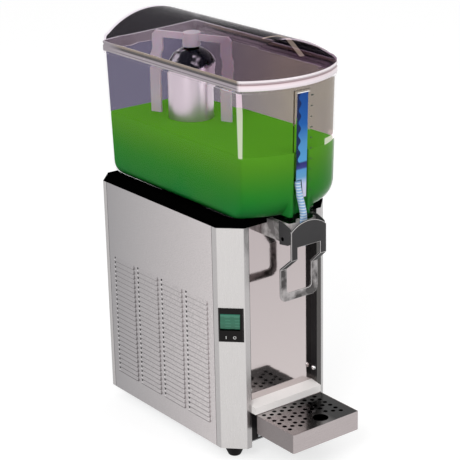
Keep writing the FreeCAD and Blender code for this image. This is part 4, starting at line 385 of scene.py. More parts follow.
@finish("column steel", Metallic=1.0)
def column_finish(steel):
    """Bright 45 degree faces with painted shade: greyer side and front faces, darker by the right gasket."""
    streak = brush(steel, (1400.0, 1400.0, 40.0), 0.28)
    across, along, up = (steel.axis(letter) for letter in "XYZ")
    bright = streak.spread(0.3, 0.7).mix(tone(198, 195, 194), tone(203, 200, 199))
    # Painted shade: the right chamfer is a darker copy of the same steel.
    lit = (across - along > FAR_CHAMFER).mix(bright, tone(138, 136, 135))
    side = abs(across).spread(SIDE_FACE, SIDE_FACE + EDGE)
    ahead = along.spread(FRONT_FACE, FRONT_FACE - EDGE)
    # Painted shade: the side and front faces are a greyer copy.
    flat = (side | ahead).mix(lit, tone(176, 173, 173))
    # Painted shade: dark grey beside the right gasket, below the deck.
    edge = across.between(0.0, GASKET_EDGE) * (along < 0.0) * up.spread(DECK_LOW + 0.02, DECK_LOW)
    steel.set(Base_Color=edge.mix(flat, tone(84, 82, 81)))


def shaded_steel(name, light, dark, low, high, rough, well=0.0):
    """Painted reflection from a light tone to a dark one along X; painted black shade where a tray is open.
    """
    steel = Finish(name, Metallic=1.0)
    streak = brush(steel, (40.0, 1200.0, 1200.0), rough)
    across, along = steel.axis("X"), steel.axis("Y")
    shade = across.spread(low, high).mix(light, dark)
    brushed = streak.spread(0.2, 0.8, 0.0, 0.14).mix(shade, tone(90, 85, 85))
    within = across.between(-well, well) * along.between(TRAY_FRONT, TRAY_REAR)
    steel.set(Base_Color=within.mix(brushed, tone(8, 8, 8)))
    return steel.material


# The tray's left face takes the darker tone as a painted reflection, and its open well black as painted
# shade.
tray_finish = shaded_steel(
    "tray steel", tone(132, 125, 125), tone(178, 169, 169), -TRAY_HALF, 0.0006 - TRAY_HALF, 0.24, TRAY_WELL
)
# The grid runs from light at the left to near black at the right: a painted reflection of a dark room.
grid_finish = shaded_steel("grid steel", tone(186, 180, 179), tone(6, 6, 6), -0.05, 0.022, 0.14)
print("brushed finishes made")

# %% Louvred panel and mirror
LOUVRE_PITCH, LOUVRE_ROWS, LOUVRE_TOP = 7.85, 25, 228.5
LOUVRE_COLUMN, LOUVRE_COLUMNS, LOUVRE_LENGTH, LOUVRE_FIRST = 62.9, 4, 53.0, 53.2


def louvre_masks(steel):
    """Masks of painted shade in the slits and upper rear corners of the hoods, and of a painted glint below.
    """
    step, first = LOUVRE_PITCH * MM, (BASE + LOUVRE_TOP) * MM
    up, behind = steel.axis("Z"), steel.axis("Y") - (FRONT + LOUVRE_FIRST) * MM
    share = ((up - first) / step).repeat()
    run = (behind / (LOUVRE_COLUMN * MM)).repeat()
    end = LOUVRE_LENGTH / LOUVRE_COLUMN
    last = ((LOUVRE_COLUMNS - 1) * LOUVRE_COLUMN + LOUVRE_LENGTH) * MM
    field = up.between(first - LOUVRE_ROWS * step, first) * behind.between(0.0, last)
    slit_shade = share.between(0.0, 0.2) * (run < end) | run.between(0.0, 0.016) * 0.55
    corner = share.between(0.62, 1.0) * run.between(end - 0.042, end + 0.02)
    glint = share.between(0.3, 0.62) * run.between(end - 0.045, end + 0.006)
    return field * slit_shade, field * corner, field * glint


@finish("panel steel", Metallic=1.0)
def panel_finish(steel):
    """Side panel steel, darker to the rear by a painted reflection, finely speckled, with louvre marks."""
    streak, grain = steel.streaks(900.0, 900.0, 60.0), steel.noise("Grain", 640.0)
    # Painted reflection: the steel darkens towards the rear.
    shade = steel.axis("Y").spread(0.2, -0.1).mix(tone(154, 152, 154), tone(222, 215, 215))
    speck = grain.spread(0.3, 0.7).mix(tone(150, 146, 147), shade)
    colour = (streak * 0.6).mix(speck, shade)
    # Painted shade in the slits and rear corners, stronger low down, and a painted highlight below the
    # corners.
    slit_shade, corner, glint = louvre_masks(steel)
    colour = (slit_shade * steel.axis("Z").spread(0.25, 0.05, 0.5, 0.95)).mix(colour, tone(52, 48, 50))
    colour = (corner * 0.95).mix(colour, tone(20, 19, 20))
    steel.set(Base_Color=(glint * 0.35).mix(colour, tone(244, 242, 242)))
    steel.rough(streak, 0.4, 0.34)
    steel.bump(grain, 0.03, 0.0001)


@finish("mirror steel", Metallic=1.0)
def mirror_finish(steel):
    """Polished sheet: nearly a mirror, lighter low down by a painted reflection, with a faint slow
    unevenness.
    """
    up = steel.axis("Z").spread(0.08, 0.36)
    steel.set(Base_Color=up.mix(tone(197, 188, 187), tone(178, 168, 169)))
    mottle = steel.noise("Mottle", 9.0)
    steel.rough(mottle, 0.05, 0.11)
    steel.bump(mottle + steel.streaks(14.0, 14.0, 220.0) * 0.12, 0.1, 0.003)


print("panel and mirror finishes made")

# %% [markdown]
# ## Polished metal, copper and paint
#
# The trim screws are polished, and the hidden plant is painted, copper or aluminium. The evaporator is a
# satin cylinder under a polished dome. In use the dome mirrors a dark room with a few bright windows, so
# those patches are in its colour.

# %% Polished and painted finishes
DOME_LOW, DOME_HIGH = 0.5530, 0.5560


@finish("polished evaporator", Metallic=1.0)
def evaporator_finish(steel):
    """Satin cylinder under a polished dome, coloured as a painted reflection of a dark room with bright
    spots.
    """
    up = steel.axis("Z")
    # Painted reflection on the dome: dark with a few bright patches.
    room = steel.noise("Mottle", 46.0).spread(0.56, 0.62).mix(tone(30, 30, 38), tone(190, 184, 194))
    steel.set(Base_Color=up.spread(DOME_LOW, DOME_HIGH).mix(tone(206, 192, 202), room))
    steel.set(Roughness=up.spread(DOME_LOW, DOME_HIGH, 0.3, 0.08))


@finish("black gloss paint", Roughness=0.3, Base_Color=tone(16, 16, 18), Coat_Weight=0.4)
def black_paint_finish(paint):
    """Gloss paint with a light orange peel."""
    paint.bump(paint.noise("Grain", 700.0), 0.1, 0.0004)


def polished(name, colour, rough):
    """Polished metal whose roughness wanders slowly."""
    metal = Finish(name, Metallic=1.0, Base_Color=colour)
    metal.rough(metal.noise("Mottle", 40.0), rough, rough + 0.05)
    return metal.material


chrome_finish = polished("polished screw", tone(214, 212, 212), 0.06)
copper_finish = polished("drawn copper", tone(196, 120, 84), 0.28)
brass_finish = polished("sintered bush", tone(176, 140, 84), 0.4)
aluminium_finish = polished("plain aluminium", tone(196, 198, 200), 0.34)
print("polished and painted finishes made")

# %% [markdown]
# ## Moulded plastics and rubber
#
# Moulded plastic is never perfectly smooth: a fine grain breaks up the gloss, and the colour wanders by a
# few percent. Rubber has the same grain but hardly any gloss. The lever's paddle and the tap housing are
# glossy and curved, and their patches of dark and light stand for the room around them.

# %% Moulded finishes
def moulded(name, colour, rough, grain_strength=0.15, vary=0.12, gloss=0.5):
    """Moulded plastic: one colour that wanders slightly, fine grain in the bump and the roughness."""
    plastic = Finish(name, Specular_IOR_Level=gloss)
    darker = (*(part * (1 - vary) for part in colour[:3]), 1.0)
    plastic.set(Base_Color=plastic.noise("Mottle", 35.0).spread(0.3, 0.7).mix(darker, colour))
    grain = plastic.noise("Grain", 1800.0)
    plastic.rough(grain, rough - 0.04, rough + 0.06)
    plastic.bump(grain, grain_strength, 0.0003)
    return plastic.material


def wavy_plastic(name, dark, light, scale):
    """Glossy plastic with soft dark and light patches: a painted reflection of a room."""
    plastic = Finish(name, Coat_Weight=0.2, Specular_IOR_Level=0.3)
    mottle = plastic.noise("Mottle", scale)
    plastic.set(Base_Color=mottle.spread(0.42, 0.62).mix(dark, light))
    plastic.rough(mottle, 0.16, 0.28)
    return plastic.material


deck_finish = moulded("deck black", tone(2, 2, 2), 0.5, gloss=0.0)
trim_finish = moulded("trim black", tone(30, 29, 30), 0.45, gloss=0.15)
bezel_finish = moulded("bezel black", tone(16, 13, 13), 0.4, 0.08, gloss=0.15)
shield_finish = moulded("shield grey", tone(63, 62, 63), 0.5, 0.3, gloss=0.15)
# The lever's bevels are light grey: a painted highlight along its edges.
edge_highlight_finish = moulded("shield edge highlight", tone(196, 192, 192), 0.3)
paddle_finish = wavy_plastic("paddle grey", tone(62, 58, 58), tone(182, 177, 177), 58.0)
housing_finish = wavy_plastic("housing grey", tone(118, 114, 114), tone(220, 214, 214), 48.0)
white_finish = moulded("ledge white", tone(250, 246, 244), 0.34, 0.05, vary=0.04)
rubber_finish = moulded("foot rubber", tone(14, 13, 14), 0.6, 0.3, gloss=0.1)
grey_plastic_finish = moulded("plain grey plastic", tone(96, 96, 97), 0.45)
foam_finish = moulded("closed cell foam", tone(196, 188, 160), 0.9, 0.5)
magnet_finish = moulded("nickel magnet", tone(90, 90, 94), 0.3)
mark_finish = moulded("white mark", tone(232, 232, 230), 0.4)
tick_finish = moulded("dark tick", tone(20, 44, 30), 0.5)
print("moulded finishes made")

# %% [markdown]
# ## Clear and smoked plastic
#
# The bowl and the lid are thin walled. Light that enters through the near wall should stay clear, and the
# far wall should look dark from inside: that tint is painted shade, for a dark room behind the machine. Both
# walls are one shell, so the inner surface has a second material: its tint counts only on the side that
# faces into the bowl, which is the side that a ray reaches after it has crossed the bowl.
#
# Real walls bend light and dim the lamps. Here the index stays close to 1, so that the drink behind stands
# where it is, and Light Path lets lamp light through, so that the inside is lit. The bright strip up the
# bowl's corner, the crescent over the drink and the streaks on the lid are reflections of windows; each is
# a faint glow in a patch of the surface, because a plain white room would not show them.

# %% Clear plastic
CLEAR = (0.97, 0.97, 0.97, 1.0)


def clear_plastic(name, index, rough=0.02, **values):
    """Glass like plastic that stops no lamp light and no light on its way to a mirror or to the drink."""
    plastic = Finish(name, Roughness=rough, IOR=index, Transmission_Weight=1.0, **values)
    mirrored = plastic.ray("Glossy") - plastic.ray("Transmission")
    passed = plastic.ray("Shadow") | plastic.ray("Diffuse") | mirrored
    plastic.set(Alpha=plastic.calc("SUBTRACT", 1.0, passed))
    return plastic


def tint_inside(plastic, shade):
    """Painted shade on the face that looks into the vessel, clear on the other."""
    plastic.set(Base_Color=plastic.add("ShaderNodeNewGeometry", "Backfacing").mix(shade, CLEAR))


# %% Clear plastic of the bowl
GLOW_FRONT, GLOW_REAR, GLOW_SIDE = -0.1310, -0.1215, -0.0838
CRESCENT_SIDE, CRESCENT_REAR = 0.046, -0.11
FOOT_LOW, FOOT_HIGH = 0.3768, 0.3860


@finish("bowl outside", clear_plastic, index=1.06, Base_Color=(0.94, 0.93, 0.94, 1.0), Emission_Strength=1.0)
def bowl_outside(plastic):
    """Clear wall, with painted reflections: a strip up its front left corner, a crescent over the drink."""
    across, along, up = (plastic.axis(letter) for letter in "XYZ")
    corner = along.between(GLOW_FRONT, GLOW_REAR) * (across < GLOW_SIDE)
    under = up < across.spread(0.044, 0.088, 0.4838, 0.4815)
    crescent = under * (across > CRESCENT_SIDE) * (along < CRESCENT_REAR)
    plastic.set(Emission_Color=(corner | crescent).mix(DARK, (0.50, 0.38, 0.45, 1.0)))


@finish("bowl inside", clear_plastic, index=1.04)
def bowl_inside(plastic):
    """Inner surface, painted shade seen from inside: tan to the front, blue grey to the rear, in slow
    patches.
    """
    # Near black tints that stand for the dark room behind the machine: painted shade.
    rear = (0.026, 0.022, 0.047, 1.0)
    grey = plastic.axis("Y").spread(-0.05, 0.2).mix((0.12, 0.092, 0.060, 1.0), rear)
    tint_inside(plastic, plastic.noise("Mottle", 14.0).spread(0.3, 0.7, 0.0, 0.3).mix(grey, rear))


@finish("bowl outside by the drink", clear_plastic, index=1.1)
def wet_outside(plastic):
    """Wall by the drink: clear, and deep green in the foot's round, a painted reflection of the drink."""
    foot = plastic.axis("Z").spread(FOOT_LOW, FOOT_HIGH)
    plastic.set(Base_Color=foot.mix((0.004, 0.04, 0.01, 1.0), (0.97, 0.98, 0.97, 1.0)))


wet_inside = clear_plastic("bowl inside by the drink", 1.01, rough=0.0, Base_Color=WHITE).material
rim_finish = clear_plastic("bowl rim", 1.05, rough=0.12, Base_Color=(0.90, 0.86, 0.89, 1.0)).material
print("five finishes for the bowl made")

# %% Smoked plastic of the lid
SKIRT_LOW, SKIRT_HIGH, SKIRT_SIDE_END, SKIRT_REAR = 0.5703, 0.5850, -0.1245, 0.15


@finish("lid outside", clear_plastic, index=1.03, Emission_Strength=1.0)
def lid_outside(plastic):
    """Outer surface of the lid: clear to the rear, mauve painted shade to the front, a painted tan streak
    there.
    """
    across, along = plastic.axis("X"), plastic.axis("Y")
    ahead = along.spread(0.06, -0.04)
    plastic.set(Base_Color=ahead.mix((0.84, 0.78, 0.84, 1.0), (0.26, 0.18, 0.24, 1.0)))
    # Painted reflection of a window: a tan dash by the crease and a streak down the front.
    dash = along.between(-0.0890, -0.0845) * across.between(-0.012, 0.022)
    streak = along.between(-0.1380, -0.0850) * across.between(0.012, 0.021)
    plastic.set(Emission_Color=(dash * 0.9 | streak * 0.5).mix(DARK, (0.40, 0.31, 0.26, 1.0)))


@finish("lid inside", clear_plastic, index=1.02)
def lid_inside(plastic):
    """Inner surface of the lid: painted shade, near black from inside, light in the low band above the
    skirt.
    """
    back = plastic.axis("Y").spread(0.1, 0.19)
    # Painted shade: near black, a little lighter to the rear.
    smoke_and_shade = back.mix((0.0001, 0.0001, 0.0002, 1.0), (0.0016, 0.0015, 0.0018, 1.0))
    low = plastic.axis("Z").spread(0.5880, 0.5860)
    tint_inside(plastic, low.mix(smoke_and_shade, (0.60, 0.54, 0.60, 1.0)))


@finish("lid skirt", Coat_Weight=0.3)
def skirt_finish(plastic):
    """Lid skirt, painted reflection and shade: mauve, tan top edge, dark groove at the sides, pinkish white
    front.
    """
    share, along = plastic.axis("Z").spread(SKIRT_LOW, SKIRT_HIGH), plastic.axis("Y")
    # Painted reflections and shade: light and dark bands at the sides, the dark one by the groove.
    side = share.ramp(
        (0.0, 110, 98, 106), (0.1, 190, 178, 186), (0.24, 110, 98, 108), (0.34, 176, 164, 172),
        (0.5, 160, 148, 156), (0.58, 52, 44, 48), (0.72, 54, 44, 44), (0.78, 136, 118, 106),
        (1.0, 150, 132, 116),
    )
    # Painted highlight: pinkish white round the front.
    front = share.ramp(
        (0.0, 238, 226, 231), (0.3, 255, 242, 248), (0.52, 248, 228, 234), (0.6, 158, 132, 136),
        (0.74, 196, 178, 184), (0.8, 244, 234, 238), (1.0, 250, 240, 244),
    )
    around = along.spread(SKIRT_SIDE_END, SKIRT_SIDE_END - 0.0055).mix(side, front)
    rear = along.spread(SKIRT_REAR, SKIRT_REAR + 0.04)
    plastic.set(Base_Color=rear.mix(around, tone(156, 146, 154)))
    plastic.rough(plastic.noise("Mottle", 60.0), 0.15, 0.3)


print("three finishes for the lid made")

# %% [markdown]
# ## Drink, tube, stirrer and strip
#
# The drink is opaque: bright green near its surface and blue green at the bottom, so its colour follows
# the height. The strip's print is a plain run of blues with a row of waves, worked out from the height. The
# rocker is lit from inside by a lamp, so its colour is mostly emission.

# %% Drink and strip
DRINK_LOW, DRINK_HIGH = 0.376, 0.476
STRIP_LOW, STRIP_HIGH = 0.406, 0.561
STRIP_WAVE, TUBE_WAVE = 0.018, 0.0042


def waves_along(made, length):
    """Sine of the height, one wave for each length in metres."""
    return made.calc("SINE", made.axis("Z") * (2 * math.pi / length))


@finish("green drink", Roughness=0.5, Specular_IOR_Level=0.0)
def drink_finish(drink):
    """Green that deepens from the surface down, with slow cloudiness."""
    depth = drink.axis("Z").spread(DRINK_LOW, DRINK_HIGH).ramp(
        (0.0, 4, 118, 58), (0.14, 6, 124, 52), (0.45, 38, 133, 42), (0.8, 82, 150, 36),
        (0.985, 92, 162, 38), (1.0, 70, 145, 32),
    )
    cloud = drink.noise("Mottle", 8.0).spread(0.25, 0.75, 0.0, 0.35)
    drink.set(Base_Color=cloud.mix(depth, tone(80, 140, 40)))


@finish("printed strip", Roughness=0.4, Specular_IOR_Level=0.15)
def strip_finish(strip):
    """Bands of blue by height, a navy line, and a wavy navy edge on the left side."""
    up = strip.axis("Z")
    bands = up.spread(STRIP_LOW, STRIP_HIGH).ramp(
        (0.0, 222, 222, 240), (0.13, 206, 214, 246), (0.2, 104, 166, 210), (0.27, 92, 160, 216),
        (0.285, 60, 66, 140), (0.335, 46, 46, 116), (0.35, 90, 166, 222), (0.52, 82, 150, 206),
        (0.70, 30, 96, 176), (1.0, 22, 72, 148),
    )
    sway = waves_along(strip, STRIP_WAVE) * -0.0022 + strip.axis("X")
    wavy_edge = sway.spread(-0.0042, -0.0046) * up.spread(0.452, 0.458)
    strip.set(Base_Color=wavy_edge.mix(bands, tone(12, 34, 84)))


print("drink and strip finishes made")

# %% Tube, stirrer and rocker
ROCKER_LOW, ROCKER_HIGH, ROCKER_LEFT, ROCKER_RIGHT = 0.2108, 0.2330, -0.0970, -0.0770


@finish("pale silicone", Roughness=0.3, Transmission_Weight=0.15, IOR=1.4)
def tube_finish(tube):
    """Pale blue tube with whiter rings, one every few millimetres."""
    wave = waves_along(tube, TUBE_WAVE)
    tube.set(Base_Color=wave.spread(0.2, 0.8).mix(tone(150, 192, 234), tone(236, 244, 255)))
    tube.bump(wave, 0.3, 0.0006)


@finish("lit rocker", Roughness=0.3, Base_Color=tone(10, 70, 50), Coat_Weight=0.3, Emission_Strength=0.4)
def rocker_finish(rocker):
    """Green rocker lit from inside, its lens ribbed: short light dashes in rows on a darker teal."""
    up = rocker.axis("Z").spread(ROCKER_LOW, ROCKER_HIGH)
    across = rocker.axis("X").spread(ROCKER_LEFT, ROCKER_RIGHT)
    dash = (up * 5.0).repeat().between(0.3, 0.62) * (across * 2.0).repeat().between(0.2, 0.75)
    body = up.ramp((0.0, 0, 70, 50), (0.5, 18, 112, 84), (0.86, 14, 100, 74), (1.0, 84, 160, 136))
    rocker.set(Emission_Color=(dash * 0.45).mix(body, tone(96, 176, 148)))


stirrer_finish = Finish(
    "stirrer white", Base_Color=(0.70, 0.58, 0.68, 1.0), Roughness=0.3, Transmission_Weight=0.25,
    Subsurface_Weight=0.5, Subsurface_Scale=0.004, IOR=1.4,
).material
print("tube, stirrer and rocker finishes made")

# %% [markdown]
# ## Dressing the CAD pieces
#
# Pieces whose CAD shape is right keep it and only get a finish.

# %% Finishes for the CAD pieces
DRESS = {
    panel_finish: "left_side_panel right_side_panel",
    column_finish: "front_left_column front_right_column rear_left_column rear_right_column",
    zinc_finish: """base_plate rear_panel foot_bolts tray_rails top_plate drive_shaft motor_bracket
        tap_screws condenser_frame fan_shroud""",
    mirror_finish: "mirror_panel",
    tray_finish: "drip_tray",
    grid_finish: "drip_grid",
    chrome_finish: "rear_screws trim_screws tap_pin lever_spring",
    evaporator_finish: "evaporator",
    copper_finish: "evaporator_coil condenser_coil filter_drier discharge_line liquid_line suction_line",
    brass_finish: "shaft_bushes",
    aluminium_finish: "condenser_fins fan_blades",
    black_paint_finish: "compressor fan_motor",
    deck_finish: "deck",
    trim_finish: "column_strips kick_plate switch_body",
    bezel_finish: "switch_bezel",
    rubber_finish: "feet cord_bush bowl_seal compressor_grommets",
    white_finish: "tray_ledge",
    housing_finish: "tap_housing",
    shield_finish: "tap_lever",
    grey_plastic_finish: "gear_motor control_box thermostat",
    foam_finish: "deck_insulation",
    magnet_finish: "stirrer_magnet drive_magnet",
    strip_finish: "level_strip",
    stirrer_finish: "stirrer",
    tube_finish: "pinch_tube",
    rocker_finish: "switch_rocker",
    drink_finish: "drink",
    bowl_outside: "bowl",
    lid_outside: "lid",
}
for material, names in DRESS.items():
    for name in names.split():
        nodes[name].data.materials.clear()
        nodes[name].data.materials.append(material)
print("dressed", sum(len(names.split()) for names in DRESS.values()), "CAD pieces of", len(nodes))

# %% [markdown]
# ## The bowl's outline
#
# Seen from above, the bowl has straight sides and back, a bowed front and four rounded corners. Every
# horizontal cut has such an outline, a little smaller further down because the walls lean and their foot
# is rounded. All cuts are read as distances from the evaporator's axis at the same set of angles, so the
# cuts stack into one tidy grid.

# %% Outline and its distances from the axis
AXIS_BACK = 210.5
BOWL_LOW, BOWL_TALL = 358.3, 193.7
DRINK_LEVEL = 97.7
SIDE_FOOT, BACK_FOOT, FRONT_FOOT = 12.0, 20.0, 38.0
RIM_OUTLINE = {
    "half": 88.8, "rear": 322.0, "corner": -16.5, "apex": -50.3, "rear_round": 6.0, "front_round": 8.0,
}


def bowed_outline(half, rear, corner, apex, rear_round, front_round):
    """Dense closed outline: front arc through both corners and the apex, then rounds and straight runs."""
    radius = arc_radius(half, corner - apex)
    middle = apex + radius
    round_x = half - front_round
    round_y = middle - math.sqrt((radius - front_round) ** 2 - round_x**2)
    touch = math.atan2(round_x, middle - round_y)
    bow = np.linspace(0, touch, 400)
    turn = np.linspace(touch, math.pi / 2, 120)
    back_turn = np.linspace(math.pi / 2, math.pi, 120)
    run = np.linspace(0, 1, 400)
    x = [
        radius * np.sin(bow),
        round_x + front_round * np.sin(turn),
        half + 0 * run,
        half - rear_round + rear_round * np.sin(back_turn),
        (half - rear_round) * (1 - run),
    ]
    y = [
        middle - radius * np.cos(bow),
        round_y - front_round * np.cos(turn),
        round_y + (rear - rear_round - round_y) * run,
        rear - rear_round - rear_round * np.cos(back_turn),
        rear + 0 * run,
    ]
    right = np.stack([np.concatenate(x), np.concatenate(y)], axis=1)
    return np.concatenate([right, right[::-1] * (-1, 1)])


def reach(outline, angles):
    """Distance from the axis to an outline at each angle; angle 0 points to the front, positive to +X."""
    x, y = outline[:, 0], outline[:, 1] - AXIS_BACK
    around = np.arctan2(x, -y)
    order = np.argsort(around)
    return np.interp(angles, around[order], np.hypot(x, y)[order], period=2 * math.pi)


def bowl_walls(height):
    """Half width, rear, corner and apex of the leaning walls at a height above the bowl's bottom."""
    share = height / BOWL_TALL
    return 84.0 + 3.4 * share, 315.5 + 5.5 * share, -12.0 - 4.0 * share, -42.3 - 7.7 * share


def body_reach(height, wall, angles):
    """Distance to the bowl's face at a height, wall mm inside its outer face.

    A wall with a rounded foot stands in by the sag of the foot's circle at what is left of its radius.
    """
    half, rear, corner, apex = bowl_walls(height)
    over = max(height - wall, 0.0)
    rounds = np.array([SIDE_FOOT, BACK_FOOT, FRONT_FOOT]) - wall
    side, back, front = wall + sag(rounds, np.clip(rounds - over, 0, rounds))
    corner_round = max(8.0 - wall, 2.0) + (side - wall) * 1.5
    rear_round = 6.0 - wall + (back - wall) / 2
    outline = bowed_outline(half - side, rear - back, corner + front, apex + front, rear_round, corner_round)
    return reach(outline, angles)


# %% Angles of the columns
GROOVE_EDGE, POCKET_EDGE, WALL_EDGE = 2.43, 0.92, 0.68
ANGLE_RUNS = [
    (0.0, 19.0, 58), (4.85, 5.95, 8), (19.0, 23.5, 19), (25.0, 137.0, 34), (137.5, 144.5, 29),
    (147.0, 180.0, 10),
]


def half_angles():
    """Angles of one half, close together where the outline bends and in pairs where it steps."""
    edges = np.array([GROOVE_EDGE, GROOVE_EDGE + WALL_EDGE, POCKET_EDGE, POCKET_EDGE + WALL_EDGE])
    runs = [np.linspace(*run) for run in ANGLE_RUNS]
    return np.unique(np.concatenate([edges - 0.015, edges + 0.015, *runs]).round(4))


ANGLES = np.radians(np.concatenate([half_angles(), -half_angles()[1:-1][::-1]]))
DEGREES = np.degrees(ANGLES)
print("bowl columns:", len(ANGLES))

# %% [markdown]
# ## Nose, groove and pocket
#
# At its front the bowl has a square column that runs straight down to the tap. The strip stands in a
# shallow groove of it, and the tube starts in a deeper pocket at the groove's lower left. In distances
# from the axis these are easy: the column is the larger of two distances, a groove is the smaller.

# %% The bowl's face with nose, groove and pocket
NOSE_HALF = 22.0
GROOVE_TOP, POCKET_TOP = BOWL_TALL - 9.0, 56.0
GROOVE_DEEP, POCKET_DEEP = 4.5, 12.0


def front_reach(height, setback, angles):
    """Distance to the bowed front, moved back by setback: (axis to front at x) over the angle's cosine."""
    half, _, corner, apex = bowl_walls(height)
    radius = arc_radius(half, corner - apex)
    x = np.clip((AXIS_BACK - apex) * np.tan(angles), -radius * 0.9, radius * 0.9)
    return (AXIS_BACK - apex - setback - sag(radius, x)) / np.cos(angles)


def flat_reach(height, setback, angles):
    """Distance to an upright plane across the front, setback mm behind the apex."""
    return (AXIS_BACK - bowl_walls(height)[3] - setback) / np.cos(angles)


def face_reach(height, wall, grow=0.0):
    """Distance to the outer (wall 0) or inner face at one height, with nose, groove and pocket."""
    distance = body_reach(height, wall, ANGLES) - grow
    ahead = np.abs(DEGREES) < 60
    front = np.where(ahead, ANGLES, 0.0)
    spare = wall + grow
    side = (NOSE_HALF - spare) / np.maximum(np.abs(np.sin(front)), 1e-4)
    nose = np.minimum(front_reach(height, spare, front), side)
    distance = np.where(ahead, np.maximum(distance, nose), distance)
    thick = WALL_EDGE if wall else 0.0
    left, right = GROOVE_EDGE + thick, POCKET_EDGE + thick
    in_groove = (np.abs(DEGREES) < left) & (height < GROOVE_TOP + spare)
    groove = flat_reach(height, GROOVE_DEEP + spare, front)
    distance = np.where(in_groove, np.minimum(distance, groove), distance)
    in_pocket = (DEGREES > -left) & (DEGREES < right) & (height < POCKET_TOP + spare)
    pocket = flat_reach(height, POCKET_DEEP + spare, front)
    return np.where(in_pocket, np.minimum(distance, pocket), distance)


def ring(distance, height):
    """One row of points: polar distances at a height above the bowl's bottom, in metres."""
    back = AXIS_BACK - distance * np.cos(ANGLES)
    return place(distance * np.sin(ANGLES), back, BOWL_LOW + height)


def wall_heights(wall, jumps, top):
    """Heights of the rows: close together in the rounded foot, in pairs at each step, sparse above."""
    foot = wall + (FRONT_FOOT - wall) * (1 - np.cos(np.linspace(0, math.pi / 2, 15)))
    pairs = [j + d for j in jumps for d in (-0.03, 0.03)]
    rows = np.concatenate([foot, pairs, [48.0, 75.0, DRINK_LEVEL, 130.0, 160.0, top]])
    return np.unique(rows.round(4))


print("nose, groove and pocket:", face_reach(100.0, 0.0)[:1], "mm from the axis to the groove")

# %% The bowl as one shell
WALL = 3.0
HOLE, COLLAR, COLLAR_TOP, NOSE_DROP = 41.5, 44.5, 13.0, -4.3
OUTSIDE, INSIDE, RIM, WET_OUTSIDE, WET_INSIDE = range(5)


def bowl_rows():
    """Rows from the hole, along the floor, up the outer face, over the rim and down the inner face."""
    hole, collar = (np.full_like(ANGLES, radius) for radius in (HOLE, COLLAR))
    outer = wall_heights(0.0, (POCKET_TOP, GROOVE_TOP), BOWL_TALL - WALL)
    inner = wall_heights(WALL, (POCKET_TOP + WALL, GROOVE_TOP + WALL), BOWL_TALL)[::-1]
    foot = face_reach(0.0, 0.0)
    nose_rear = AXIS_BACK + 5.0
    in_nose = (np.abs(np.tan(ANGLES)) < NOSE_HALF / nose_rear) & (np.abs(DEGREES) < 90)
    nose_back = np.where(in_nose, nose_rear / np.cos(ANGLES), foot)
    drop = np.where(in_nose, NOSE_DROP, 0.0)
    rim = reach(bowed_outline(**RIM_OUTLINE), ANGLES)
    rows = [ring(hole, 0.0), ring(nose_back, 0.0), ring(nose_back, drop), ring(foot, drop)]
    rows += [ring(face_reach(h, 0.0), h) for h in outer]
    for inset, below in ((0.5, 3.0), (0.0, 2.5), (0.0, 0.5), (0.5, 0.0)):
        rows.append(ring(rim - inset, BOWL_TALL - below))
    first_inner = len(rows)
    rows += [ring(face_reach(h, WALL), h) for h in inner]
    rows += [ring(collar, WALL), ring(collar, COLLAR_TOP), ring(hole, COLLAR_TOP)]
    picks = np.full(len(rows), WET_OUTSIDE)
    picks[4:len(outer) + 4] = np.where(outer < DRINK_LEVEL, WET_OUTSIDE, OUTSIDE)
    picks[len(outer) + 3:first_inner] = RIM
    picks[first_inner:-3] = np.where(inner <= DRINK_LEVEL, WET_INSIDE, INSIDE)
    return np.stack(rows), np.repeat(picks, len(ANGLES))


rows, picks = bowl_rows()
bowl_finishes = [bowl_outside, bowl_inside, rim_finish, wet_outside, wet_inside]
bowl = ring_piece("bowl_shell", rows, bowl_finishes, "bowl", "clear_plastic", picks=picks, bend=28.0)
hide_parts("bowl")

# %% [markdown]
# ## The drink
#
# The drink fills the bowl to a level, so its side is the bowl's inner face moved in by a hair. Its
# surface is flat but creeps up the wall by a millimetre, which catches the light as a thin line.

# %% Drink
def drink_rows(level=DRINK_LEVEL, gap=0.35):
    """Rows up the wall, in over the surface to the evaporator, and down again to the floor."""
    heights = wall_heights(WALL + 0.4, (POCKET_TOP + WALL,), level)
    wall = face_reach(level, WALL, gap)
    core, collar = (np.full_like(ANGLES, radius) for radius in (35.9, COLLAR + 0.5))
    rows = [ring(face_reach(h, WALL, gap), h) for h in heights[heights <= level]]
    for inset, lift in ((0.0, 1.1), (0.5, 0.9), (1.4, 0.25), (3.0, 0.0)):
        rows.append(ring(wall - inset, level + lift))
    rows += [ring(wall * (1 - s) + core * s, level) for s in (0.2, 0.4, 0.6, 0.8, 0.97)]
    rows += [ring(core, level + 0.5), ring(core, COLLAR_TOP + 1.0), ring(collar, COLLAR_TOP + 1.0)]
    rows += [ring(collar, WALL + 0.4)]
    return np.stack(rows)


drink = ring_piece("green_drink", drink_rows(), [drink_finish], "bowl", "drink", bend=50.0)
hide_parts("drink")

# %% [markdown]
# ## The lid
#
# The lid is a barrel vault cut by a front that leans back. For each point across the vault's arch, a path
# runs from the front's foot straight up, along the leaning front to the crease, back along the vault and
# down the rear face. Where the crease lies follows from both surfaces: on the leaning front each
# millimetre back gives 36/55 mm of height, so the crease is where that line reaches the arch.

# %% Lid shell
LID_FOOT, LID_STEP, LID_SHOULDER, LID_REAR = 552.3, 562.0, 572.0, 318.0
LID_SIDE, LID_ARCH_HALF, LID_RADIUS, LID_CROWN = 86.5, 80.0, 124.0, 608.0
LID_FRONT, LID_FRONT_HALF, LID_FRONT_RISE, LID_SLOPE = -48.6, 89.0, 33.0, 55.0 / 36.0


